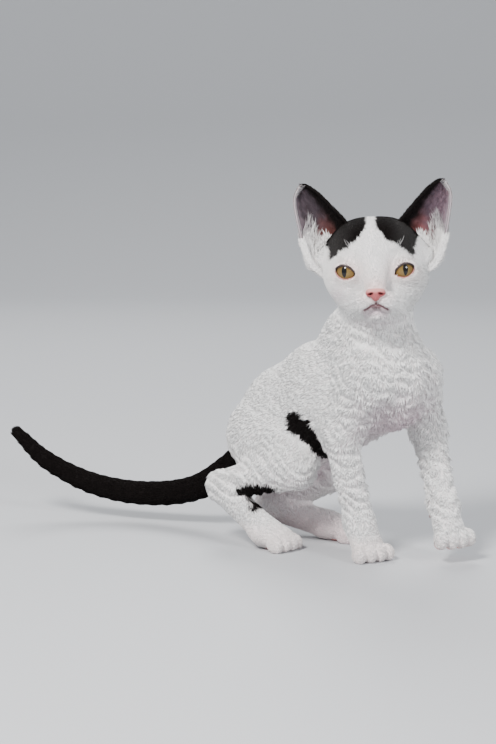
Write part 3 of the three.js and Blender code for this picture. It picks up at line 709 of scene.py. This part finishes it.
ear_skin = fur_material("ear_skin", 900, 0.25)
fill(ear_skin.node_tree, ear_skin.node_tree.nodes["Principled BSDF"], Subsurface_Weight=0.12,
     Subsurface_Radius=(0.004, 0.0015, 0.001))
ear_sheets = {}
for side_name, s in SIDES:
    rise, sweep = np.meshgrid(np.linspace(0, 0.985, EAR_RISES), np.linspace(0.02, 0.98, EAR_SWEEPS),
                              indexing="ij")
    middle = ear_middle(rise, sweep)
    across = unit(np.cross(np.gradient(middle, axis=0), np.gradient(middle, axis=1)))
    across *= np.sign(across[..., 2:])
    thick = EAR_THICK * (1 - 0.35 * rise)[..., None]
    front, back = middle + across * thick / 2, middle - across * thick / 2
    rows = np.concatenate([front, back[:, ::-1]], 1) * vec(s, 1, 1)
    points = JOINT["head"] + rows @ HEAD_AXES
    inside = np.concatenate([np.ones_like(rise), np.zeros_like(rise)], 1) > 0
    rises, sweeps = np.concatenate([rise, rise], 1), np.concatenate([sweep, sweep[:, ::-1]], 1)
    wobble = wander(rows.reshape(-1, 3), 2.0).reshape(rises.shape)
    colours = ear_colours(rises, sweeps, inside, wobble, EAR_CUPS[side_name])
    loop = 2 * EAR_SWEEPS
    n = np.arange(EAR_RISES * loop).reshape(EAR_RISES, loop)
    j = np.arange(EAR_SWEEPS - 1)
    foot, tip = (np.stack([row[j], row[loop - 1 - j], row[loop - 2 - j], row[j + 1]], -1)
                 for row in (n[0], n[-1]))
    faces = np.concatenate([wall(n), foot, tip[:, ::-1]])
    if s > 0:
        faces = faces[:, ::-1]
    ear = new_mesh(side_name + "_ear_sheet", placed(points.reshape(-1, 3)), faces, ear_skin,
                   colour=colours.reshape(-1, 3))
    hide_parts(side_name + "_ear")
    ear_sheets[side_name] = (points, unit((across * vec(s, 1, 1)) @ HEAD_AXES))


# The eyes: wet balls held by the lids, with a bulging clear front, an amber iris in fine spokes and an upright
# slit of a pupil. Each is one closed shell, its iris and pupil painted by the angle from the way it faces.
EYE_RINGS, EYE_SPOKES = 90, 160
AMBER = vec(0.20, 0.118, 0.032)
AMBER_MIDDLE = vec(0.19, 0.14, 0.05)
EYE_WHITE = vec(0.22, 0.15, 0.12)
PUPIL = vec(0.004, 0.004, 0.005)


def halved(quads):
    """Four-cornered faces cut into triangles from their first corners."""
    return np.concatenate([quads[:, [0, 1, 2]], quads[:, [0, 2, 3]]])


wet_eye = painted("wet_eye", Roughness=0.12, Coat_Weight=0.4, Specular_IOR_Level=0.2, Coat_Roughness=0.03)[0]
for side_name, (at, eye_u, eye_v, facing) in EYES.items():
    rings = np.linspace(0, np.pi, EYE_RINGS) ** 1.25 / np.pi**0.25
    polar, turn = np.meshgrid(rings, np.linspace(0, 2 * np.pi, EYE_SPOKES, endpoint=False), indexing="ij")
    x, y, z = np.sin(polar) * np.cos(turn), np.sin(polar) * np.sin(turn), np.cos(polar)
    out = EYE_RADIUS - 0.12 + 0.75 * np.exp(-((polar / 0.62) ** 4))
    points = at + out[..., None] * (x[..., None] * eye_u + y[..., None] * eye_v + z[..., None] * facing)
    ahead = (z > 0)[..., None]
    level = 0.25 * x + y
    upright = x - 0.25 * y
    width = 0.19 * np.clip(1 - (level / 0.43) ** 2, 0, 1) ** 0.6 * (1 + 0.5 * np.clip(level, -0.3, 0.4))
    spokes = 0.5 + 0.5 * np.sin(turn * 37 + 3 * np.sin(turn * 5)) * np.sin(turn * 23 + 1)
    reach = np.hypot(x, y)
    iris = AMBER * (0.74 + 0.34 * spokes[..., None] * np.clip(reach / 0.5, 0, 1)[..., None])
    iris = iris + (AMBER_MIDDLE - iris) * 0.5 * soft(0.33 - reach, 0.14)[..., None]
    iris = iris * (1 - 0.85 * soft(reach - 0.70, 0.05)[..., None])
    # Painted shadow of the upper lid: the iris darker towards its top.
    iris = iris * (1 - 0.6 * soft(level - 0.22, 0.22)[..., None])
    colour = np.where(ahead, iris + (EYE_WHITE - iris) * soft(reach - 0.79, 0.03)[..., None], EYE_WHITE)
    colour = colour + (PUPIL - colour) * soft(width - np.abs(upright), 0.018)[..., None] * ahead
    n = np.arange(polar.size).reshape(polar.shape)
    m = np.roll(n, -1, 1)
    front_cap = np.stack([np.full(EYE_SPOKES, n[0, 0]), n[1], m[1]], -1)
    back_cap = np.stack([np.full(EYE_SPOKES, n[-1, 0]), m[-2], n[-2]], -1)
    triangles = np.concatenate([halved(wall(n[1:-1])[:, [0, 3, 2, 1]]), front_cap, back_cap])
    keep = np.concatenate([[n[0, 0]], n[1:-1].ravel(), [n[-1, 0]]])
    renumber = np.full(n.size, -1)
    renumber[keep] = np.arange(len(keep))
    eye = new_mesh(side_name + "_eyeball", placed(points.reshape(-1, 3)[keep]), renumber[triangles], wet_eye,
                   colour=colour.reshape(-1, 3)[keep])
    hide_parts(side_name + "_eye")


# The rims of the lids: bare moist skin, rosy below and dark above, that edges each opening of the lids; the dark
#  above is partly painted shadow of the upper lid.
# Each is one thin rounded edge, grown from the lids, that follows the opening just outside the ball.
RIM_ABOVE_AND_LID_SHADE = vec(0.035, 0.02, 0.02)
RIM_BELOW = vec(0.42, 0.17, 0.15)


def tube(line, radii, sides, colours):
    """A closed tube: circles carried square to a line of points, drawn in to a point at both ends."""
    way = unit(np.gradient(line, axis=0))
    side = unit(np.cross(way, vec(0.31, 0.17, 0.93)))
    other = np.cross(way, side)
    turn = np.linspace(0, 2 * np.pi, sides, endpoint=False)[None, :, None]
    round_way = np.cos(turn) * side[:, None] + np.sin(turn) * other[:, None]
    rings = line[:, None] + np.asarray(radii)[:, None, None] * round_way
    n = np.arange(len(line) * sides).reshape(-1, sides)
    m = np.roll(n, -1, 1)
    first, last = np.full(sides, n.size), np.full(sides, n.size + 1)
    ends = np.concatenate([np.stack([first, m[0], n[0]], -1), np.stack([last, n[-1], m[-1]], -1)])
    points = np.concatenate([rings.reshape(-1, 3), line[:1], line[-1:]])
    colours = np.concatenate([np.repeat(colours, sides, 0), colours[:1], colours[-1:]])
    return points, np.concatenate([halved(wall(n)), ends]), colours


def joined(pieces):
    """Several (points, faces, colours) as one, each piece's corner numbers moved on past those before it."""
    points, faces, colours = zip(*pieces)
    starts = np.cumsum([0] + [len(p) for p in points])
    faces = [corners + start for corners, start in zip(faces, starts)]
    return np.concatenate(points), np.concatenate(faces), np.concatenate(colours)


rims = []
for at, eye_u, eye_v, facing in EYES.values():
    turn = np.linspace(0, 2 * np.pi, 73)
    aside, above = np.cos(turn), np.sin(turn)
    x = EYE_HALF[0] * aside
    y = lid_height(aside * aside, above) * above - 0.4 * aside * aside
    ahead = np.sqrt((EYE_RADIUS + 0.62) ** 2 - x * x - y * y)
    line = at + x[:, None] * eye_u + y[:, None] * eye_v + ahead[:, None] * facing
    # Dark above: partly dark rim skin, partly painted shadow of the upper lid.
    tone = RIM_BELOW + (RIM_ABOVE_AND_LID_SHADE - RIM_BELOW) * soft(above + 0.35, 0.5)[:, None]
    rims.append(tube(line, 0.5 + 0.28 * np.clip(above, 0, 1), 8, tone))
rim_skin = painted("lid_rim", Roughness=0.35)[0]
points, faces, colours = joined(rims)
rim = new_mesh("lid_rims", placed(points), faces, rim_skin, colour=colours)


# The nose: a wedge of bare, pebbled pink leather at the end of the muzzle, wider above, with a comma of a
# nostril each side and a cleft below. It's a field of its own, and a surface net is stretched over it.
LEATHER_ABOVE = vec(0.42, 0.11, 0.115)
LEATHER_BELOW = vec(0.62, 0.28, 0.26)
# Painted shade in the hollows of the nostrils.
NOSTRIL_SHADE = vec(0.16, 0.03, 0.03)
nose_reach = np.arange(-9, 9.01, 0.36 * FINE)
tip = in_head(0, -19.4, 35.6)
nose_x, nose_y, nose_z = tip[0] + nose_reach, tip[1] + nose_reach, tip[2] + nose_reach


def nose_field(x, y, z):
    """Four eggs rounded together, less two tilted eggs for the nostrils and a thin line for the cleft."""
    field = outside(head_egg(0, -18.4, 35.4, (5.9, 2.7, 4.2), 3), x, y, z)
    field = rounded(field, outside(head_egg(0, -20.9, 35.9, (2.9, 3.5, 3.8), 3), x, y, z), 2.5)
    for s in (1, -1):
        wing = egg(in_head(s * 4.1, -19.3, 36.3), (2.2, 2.0, 2.9), 2, HEAD_AXES)
        field = rounded(field, outside(wing, x, y, z), 1.6)
    for s in (1, -1):
        side = unit(s * HEAD_U - 0.35 * HEAD_V)
        up = unit(0.35 * s * HEAD_U + HEAD_V)
        hole = egg(in_head(s * 3.4, -19.8, 39.3), (1.9, 0.85, 2.6), 1, np.array([side, up, LOOK]))
        field = -rounded(-field, outside(hole, x, y, z), 0.5)
    cleft = mass(in_head(0, -20.2, 40.0), in_head(0, -25, 38.2), (0.42, 0.42), (0.42, 0.42), 1, HEAD_V)
    return -rounded(-field, outside(cleft, x, y, z), 0.5)


nose_grid = nose_field(nose_x[:, None, None], nose_y[None, :, None], nose_z[None, None, :])
nose_points, nose_faces = surface_net(nose_grid, nose_x, nose_y, nose_z)
u, v, w = head_place(nose_points).T
# Painted shade: the nostrils' hollows darkened.
nostril_shade = sum(bell((u - s * 3.4) / 1.9, (v + 19.8) / 0.95) for s in (1, -1)) * soft(w - 35, 2)
tone = LEATHER_ABOVE + (LEATHER_BELOW - LEATHER_ABOVE) * soft(v + 18.4, 1.6)[:, None]
tone = tone + (NOSTRIL_SHADE - tone) * np.clip(nostril_shade, 0, 1)[:, None]
leather, tree, shader, _ = painted("nose_leather", Roughness=0.5, Specular_IOR_Level=0.25)
place = tree.nodes.new("ShaderNodeTexCoord")
pebbles = fill(tree, tree.nodes.new("ShaderNodeTexVoronoi"), Vector=place.outputs["Object"], Scale=2600)
dents = fill(tree, tree.nodes.new("ShaderNodeBump"), Height=pebbles.outputs["Distance"], Strength=0.35,
             Distance=0.0002)
fill(tree, shader, Normal=dents.outputs["Normal"])
nose = new_mesh("nose_wedge", placed(nose_points), nose_faces, leather, colour=tone)
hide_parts("nose")


# The pads: small cushions of bare pink skin grown under the toes and palms, and a darker one behind the lifted
# paw's wrist. Each is an egg set half into the sole.
PAD_PINK = vec(0.66, 0.33, 0.31)
PAD_DARK = vec(0.22, 0.11, 0.10)


def egg_surface(m, colour):
    """An egg's surface: sines and cosines of two angles times its half-widths, closed by a fan at both ends."""
    sides = 18
    a, b = np.meshgrid(np.linspace(0.02, np.pi - 0.02, 12), np.linspace(0, 2 * np.pi, sides, endpoint=False),
                       indexing="ij")
    local = np.stack([np.sin(a) * np.cos(b), np.sin(a) * np.sin(b), np.cos(a)], -1) * vec(*m["start"], m["cap"])
    points = (m["at"] + local @ m["axes"]).reshape(-1, 3)
    n = np.arange(a.size).reshape(a.shape)
    first, last = np.full(sides - 2, n[0, 0]), np.full(sides - 2, n[-1, 0])
    fans = [np.stack([first, n[0, 1:-1], n[0, 2:]], -1), np.stack([last, n[-1, 2:], n[-1, 1:-1]], -1)]
    return points, np.concatenate([halved(wall(n)[:, [0, 3, 2, 1]]), *fans]), np.tile(colour, (len(points), 1))


pads = []
for side_name, j in LEG.items():
    for at, ahead, spread, radii, drop in (
        (j["forepaw"] + 5 * j["fore"], j["fore"], 7, (3.2, 1.9, 4.2), 0 if side_name == "left" else 3.4),
        (j["toes"] + 3 * j["hind"], j["hind"], 6.2, (3.0, 1.9, 4.2), 2.6),
    ):
        up = np.cross(ahead, unit(np.cross(vec(0, 0, 1), ahead)))
        fan = toes(at, ahead, spread, radii, drop)
        fan.append(egg(at - 8.5 * ahead - up * drop, (7, 2.6, 5.5), 1, fan[0]["axes"]))
        for m in fan:
            m["at"] = m["at"] - up * 4.75
            if side_name == "right" or ahead is j["hind"]:
                m["at"][2] = max(m["at"][2], 2.1)
            pads.append(egg_surface(m, PAD_PINK))
wrist_pad = LEG["left"]["wrist"] + vec(-7.9, 4.0, -7.0)
pads.append(egg_surface(egg(wrist_pad, (1.7, 1.5, 1.9), 1, np.eye(3)), PAD_DARK))
points, faces, colours = joined(pads)
pad_piece = new_mesh("paw_pads", placed(points), faces, leather, colour=colours)


# The coat: short soft fur in waves, grown from the skin and laid from nose to tail and down the legs. It's
# shortest on the face, ears and feet. It's made in small tapering tufts, each three-sided and bent once, that
# end in a point.
def lie(p):
    """The way that hair lies: back from the nose, down the chest and legs, and along the back and tail. The ways
    for each region are mixed by soft steps in y and z, and on the tail by bells round its stretches."""
    away = unit(p - in_head(0, -19, 36))
    down = np.broadcast_to(vec(0, 0.12, -1), p.shape)
    along = unit(np.sign(p[:, :1]) * vec(0.25, 0, 0) + vec(0, 0.8, -0.5))
    tail_way = np.zeros_like(p)
    for a, b in zip(TAIL_LINE, TAIL_LINE[1:]):
        tail_way += unit(b - a) * bell(np.linalg.norm(p - (a + b) / 2, axis=1) / 18)[:, None]
    foot = np.broadcast_to(unit(vec(-0.1, -0.9, -0.45)), p.shape)
    mix = along + (down - along) * soft(-48 - p[:, 1] + 0.25 * (p[:, 2] - 100), 14)[:, None]
    mix = mix + (down - mix) * soft(78 - p[:, 2], 14)[:, None]
    mix = mix + (foot - mix) * soft(19 - p[:, 2], 6)[:, None]
    mix = mix + (away - mix) * soft(p[:, 2] - 168, 9)[:, None]
    mix = mix + (unit(tail_way) - mix) * soft(p[:, 1] - 64, 5)[:, None]
    return unit(mix)


chance = np.random.default_rng(11)
triangles = halved(skin_faces)
a, b, c = (skin_points[triangles[:, i]] for i in range(3))
areas = np.linalg.norm(np.cross(b - a, c - a), axis=1) / 2
centres = (a + b + c) / 3


def coat_measures(p):
    """Length, width, tufts to a square millimetre, and lift at points. Each is the mean of the values for body,
    leg, foot, back of the head, face and tail, weighed by how far points are in each."""
    face = soft(p[:, 2] - 170, 8)
    frontal = face * soft(head_place(p)[:, 2] + 2, 14)
    foot = soft(20 - p[:, 2], 7) * (p[:, 1] < 60)
    leg = soft(72 - p[:, 2], 14) * (p[:, 1] < 60) * (1 - foot)
    tail = soft(p[:, 1] - 62, 6)
    body = np.clip(1 - face - foot - leg - tail, 0, 1)
    shares = (body, leg, foot, face - frontal, frontal, tail)
    length, width, crowd, lift = (sum(share * value for share, value in zip(shares, values)) for values in (
        (4.6, 3.5, 2.0, 3.2, 1.9, 3.8),
        (0.85, 0.71, 0.51, 0.65, 0.41, 0.66),
        (1.15, 1.5, 2.2, 1.6, 3.0, 1.5),
        (0.20, 0.20, 0.15, 0.17, 0.11, 0.18),
    ))
    u, v, _ = head_place(p).T
    fluff = face * soft(u - 19, 8) * soft(-v - 6, 8)
    return length + 3.2 * fluff, width, crowd, lift + 0.35 * fluff


wanted = areas * coat_measures(centres)[2]
eye_clear = np.ones(len(centres), bool)
for at, eye_u, eye_v, facing in EYES.values():
    offset = centres - at
    x, y, z = offset @ eye_u, offset @ eye_v, offset @ facing
    eye_clear &= ~((z > 0) & ((x / (EYE_HALF[0] + 0.9)) ** 2 + (y / (EYE_HALF[1] + 0.7)) ** 2 < 1))
lips_clear = lip_line(*head_place(centres).T) > 0.8
nose_clear = nose_field(*centres.T) > 0.25
above_sole = centres[:, 2] > 1.2
wanted = wanted * (eye_clear & lips_clear & nose_clear & above_sole)
TUFTS = 120000
PER_PIECE = 18500
picked = chance.choice(len(triangles), TUFTS, p=wanted / wanted.sum())
r1, r2 = np.sqrt(chance.random(TUFTS)), chance.random(TUFTS)
shares = np.stack([1 - r1, r1 * (1 - r2), r1 * r2], 1)[..., None]
roots = (skin_points[triangles[picked]] * shares).sum(1)
ups = unit((normal[triangles[picked]] * shares).sum(1))


TUFT_FACES = [(0, 2, 1), (0, 1, 4), (0, 4, 3), (1, 2, 5), (1, 5, 4), (2, 0, 3), (2, 3, 5), (3, 4, 6), (4, 5, 6),
              (5, 3, 6)]
# Painted shade: each tuft darker at its root and lighter towards its tip, as the shade between tufts.
TUFT_ROOT_SHADE = [0.94, 0.94, 0.96, 1.0, 1.0, 1.01, 1.03]


def tufts(roots, ups, ways, length, width, lift, tint, seed):
    """Tapering three-sided tufts. Each leaves its root at the angle of its lift, bends back to the lie and ends
    in a point, swung aside a little by chance. Seven corners and ten faces to a tuft."""
    chance = np.random.default_rng(seed)
    count = len(roots)
    ways = unit(ways - (ways * ups).sum(1, keepdims=True) * ups)
    turn = chance.normal(0, 0.20, count)[:, None]
    sides = np.cross(ups, ways)
    ways, sides = ways * np.cos(turn) + sides * np.sin(turn), sides * np.cos(turn) - ways * np.sin(turn)
    length = (length * chance.uniform(0.75, 1.2, count))[:, None]
    width, lift = width[:, None], (lift * chance.uniform(0.7, 1.3, count))[:, None]
    swing = chance.normal(0, 0.10, count)[:, None] * length
    middle = roots + ways * 0.5 * length + ups * (0.5 * length * lift + 0.12)
    tips = roots + ways * length + ups * (0.72 * length * lift) + sides * swing
    foot = roots - ups * 0.35
    points = np.stack([
        foot - sides * width / 2, foot + sides * width / 2, foot + ups * width * 0.55,
        middle - sides * width * 0.42, middle + sides * width * 0.42, middle + ups * width * 0.34, tips], 1)
    faces = (np.arange(count)[:, None, None] * 7 + np.array(TUFT_FACES)).reshape(-1, 3)
    # Painted shade at the root from the table, times a random tone for each tuft.
    shade = np.array(TUFT_ROOT_SHADE)[None, :, None] * chance.uniform(0.93, 1.05, count)[:, None, None]
    colour = tint[:, None] * shade
    return points.reshape(-1, 3), faces, np.clip(colour, 0, 0.95).reshape(-1, 3)


TUFT_PATCH = np.array([(0, 0), (3, 0), (1.5, 0.8), (0, 1.8), (3, 1.8), (1.5, 2.4), (1.5, 3)]) / 1000


def unwrapped(roots, ups):
    """Where a root lies on the skin laid flat: six views along the axes, chosen by the way the skin faces, each
    in its own box of a sheet three boxes wide and two high. Each tuft's corners take a small patch there."""
    axis = np.abs(ups).argmax(1)
    facing_up = ups[np.arange(len(ups)), axis] > 0
    low, high = skin_points.min(0), skin_points.max(0)
    share = (roots - low) / (high - low)
    first, second = (share[np.arange(len(axis)), (axis + step) % 3] for step in (1, 2))
    place = np.stack([(axis + 0.03 + 0.93 * first) / 3, (facing_up + 0.03 + 0.93 * second) / 2], 1)
    return (place[:, None] + TUFT_PATCH).reshape(-1, 2)


length, width, _, lift = coat_measures(roots)
length = length * (0.4 + 0.6 * soft(lip_line(*head_place(roots).T) - 1.6, 1.2))
wave, wavy = ripples(*roots.T), waviness(*roots.T)
swirl = np.sin(roots[:, 0] / 2.9 + roots[:, 2] / 4.1) * np.cos(roots[:, 1] / 3.3 + roots[:, 2] / 5.3)
ways = lie(roots)
ways = ways + np.cross(ups, ways) * (0.5 * swirl * wavy)[:, None]
lift = lift * (1 + 0.9 * wave * wavy) * (1 - 0.25 * soft(roots[:, 1] + 30, 20))
tints = coat_colour(roots, ups)
coat_fur = fur_material("coat_fur", 2600, 0.35)
order = np.lexsort((roots[:, 0], np.round(roots[:, 1] / 30)))
parts = np.array_split(order, math.ceil(TUFTS / PER_PIECE))
for number, part in enumerate(parts):
    points, faces, colour = tufts(roots[part], ups[part], ways[part], length[part], width[part], lift[part],
                                  tints[part], 100 + number)
    points[:, 2] = np.maximum(points[:, 2], 0.12)
    coat = new_mesh(f"coat_{number + 1}", placed(points), faces, coat_fur, colour=colour,
                    uv=unwrapped(roots[part], ups[part]), uv_name="OFBake")

# The ears' fur: black down on their backs, a white fringe and ruff round the foot of the outer edge, and fine
# pale hairs that cross the opening from there. It grows from the ear's own sheet, in tufts like the coat's.
RUFF_WHITE = vec(0.88, 0.86, 0.85)
RIM_GREY = vec(0.5, 0.47, 0.48)
RUFF_TOP = 0.46
EAR_TUFTS = (  # how many, from and to along the rise and the sweep, in front, length, width, lift, pale, inward
    (3000, (0.05, 0.97), (0.0, 1.0), False, 2.2, 0.45, 0.16, False, 0.1),  # down on the back
    (600, (0.12, 0.96), (0.0, 0.26), True, 2.0, 0.4, 0.2, False, 0.1),  # black band inside
    (800, (0.10, 0.95), (0.15, 0.75), True, 1.7, 0.22, 0.15, False, 0.1),  # down in the cup
    (1200, (0.10, 0.50), (0.78, 1.0), True, 5.2, 0.6, 0.42, True, 0.8),  # fringe in front
    (380, (0.08, 0.55), (0.60, 0.96), True, 7.5, 0.28, 0.5, True, 0.8),  # long hairs across the opening
    (1100, (0.0, 0.26), (0.50, 1.0), True, 7.0, 0.9, 0.55, True, 0.8),  # fluff at the foot
    (800, (0.10, 0.50), (0.80, 1.0), False, 4.2, 0.7, 0.3, True, 0.1),  # ruff behind
    (600, (0.0, 0.24), (0.66, 1.0), False, 6.5, 0.9, 0.45, True, 0.1),
    (1200, (0.0, 0.46), (0.86, 1.0), True, 3.8, 0.8, 0.45, True, -0.7),  # ruff over the edge
    (900, (0.0, 0.46), (0.88, 1.0), False, 3.8, 0.8, 0.45, True, -0.7),
    (300, (0.85, 0.99), (0.0, 1.0), True, 1.6, 0.3, 0.3, True, 0.1),  # pale tip and rim
    (600, (0.44, 0.98), (0.93, 1.0), True, 1.8, 0.3, 0.35, True, -0.4),
    (500, (0.44, 0.98), (0.95, 1.0), False, 1.6, 0.3, 0.3, True, -0.4),
)
for side_name, s in SIDES:
    grid, face_ups = ear_sheets[side_name]
    front, back = grid[:, :EAR_SWEEPS], grid[:, EAR_SWEEPS:][:, ::-1]
    chance = np.random.default_rng(31 + s)
    sets = []
    for count, rises, sweeps, on_front, size, wide, raised, pale, inwards in EAR_TUFTS:
        i = (chance.uniform(*rises, count) * (EAR_RISES - 1)).astype(int)
        j = (chance.uniform(*sweeps, count) * (EAR_SWEEPS - 1)).astype(int)
        surface = front if on_front else back
        up = face_ups[i, j] * (1 if on_front else -1)
        tipward = unit(surface[np.minimum(i + 1, EAR_RISES - 1), j] - surface[np.maximum(i - 1, 0), j])
        inward = unit(surface[i, np.maximum(j - 1, 0)] - surface[i, np.minimum(j + 1, EAR_SWEEPS - 1)])
        rise, sweep = i / (EAR_RISES - 1), j / (EAR_SWEEPS - 1)
        tint = ear_colours(rise, sweep, np.full(count, on_front), chance.normal(0, 0.6, count),
                           EAR_CUPS[side_name])
        if pale:
            tint = np.where((rise > RUFF_TOP)[:, None], RIM_GREY, RUFF_WHITE)
        sets.append((surface[i, j], up, tipward + inward * inwards, np.full(count, size), np.full(count, wide),
                     np.full(count, raised), tint))
    count = 1200
    i = (chance.uniform(0, RUFF_TOP, count) * (EAR_RISES - 1)).astype(int)
    outward = unit(front[i, -1] - front[i, -4])
    way = unit(front[i + 1, -1] - front[i, -1]) * 0.7 + face_ups[i, -1] * chance.uniform(-1, 1, (count, 1))
    sets.append(((front[i, -1] + back[i, -1]) / 2, outward, way, np.full(count, 3.2), np.full(count, 0.8),
                 np.full(count, 0.55), np.tile(RUFF_WHITE, (count, 1))))
    at, up, way, size, wide, raised, tint = (np.concatenate([x[k] for x in sets]) for k in range(7))
    points, faces, colour = tufts(at, up, way, size, wide, raised, tint, 41 + s)
    down = new_mesh(side_name + "_ear_fur", placed(points), faces, coat_fur, colour=colour,
                    uv=unwrapped(at, up), uv_name="OFBake")


# The whiskers: single stiff hairs, short, fine and a little crinkled as the breed has them, rooted in the pads
# of the muzzle and over the eyes. Each is a thin tube along a bent line.
WHISKER_WHITE = vec(0.88, 0.87, 0.86)
chance = np.random.default_rng(5)
hairs = []
for s in (1, -1):
    starts = [(s * (9.5 + 1.6 * k), -23.5 - 1.7 * r, 34.5 - 1.3 * k, s, -0.15 - 0.25 * r, 0.25)
              for r in range(3) for k in range(3)]
    starts += [(s * (13 + 1.8 * k), 8.5 + 1.0 * k, 23 - 0.8 * k, s * 0.35, 0.85, 0.55) for k in range(3)]
    for u, v, w, du, dv, dw in starts:
        span = chance.uniform(8, 14) if v < 0 else chance.uniform(6, 9)
        t = np.linspace(0, 1, 9)[:, None]
        start, way = in_head(u, v, w - 1.0), unit(du * HEAD_U + dv * HEAD_V + dw * LOOK)
        bend = np.sin(t * 7 + chance.uniform(0, 6)) * 0.35 - t**2 * 1.2
        line = start + way * span * t + HEAD_V * bend
        hairs.append(tube(line, np.linspace(0.14, 0.03, 9), 4, np.tile(WHISKER_WHITE, (9, 1))))
points, faces, colours = joined(hairs)
whiskers = new_mesh("whiskers", placed(points), faces, coat_fur, colour=colours)
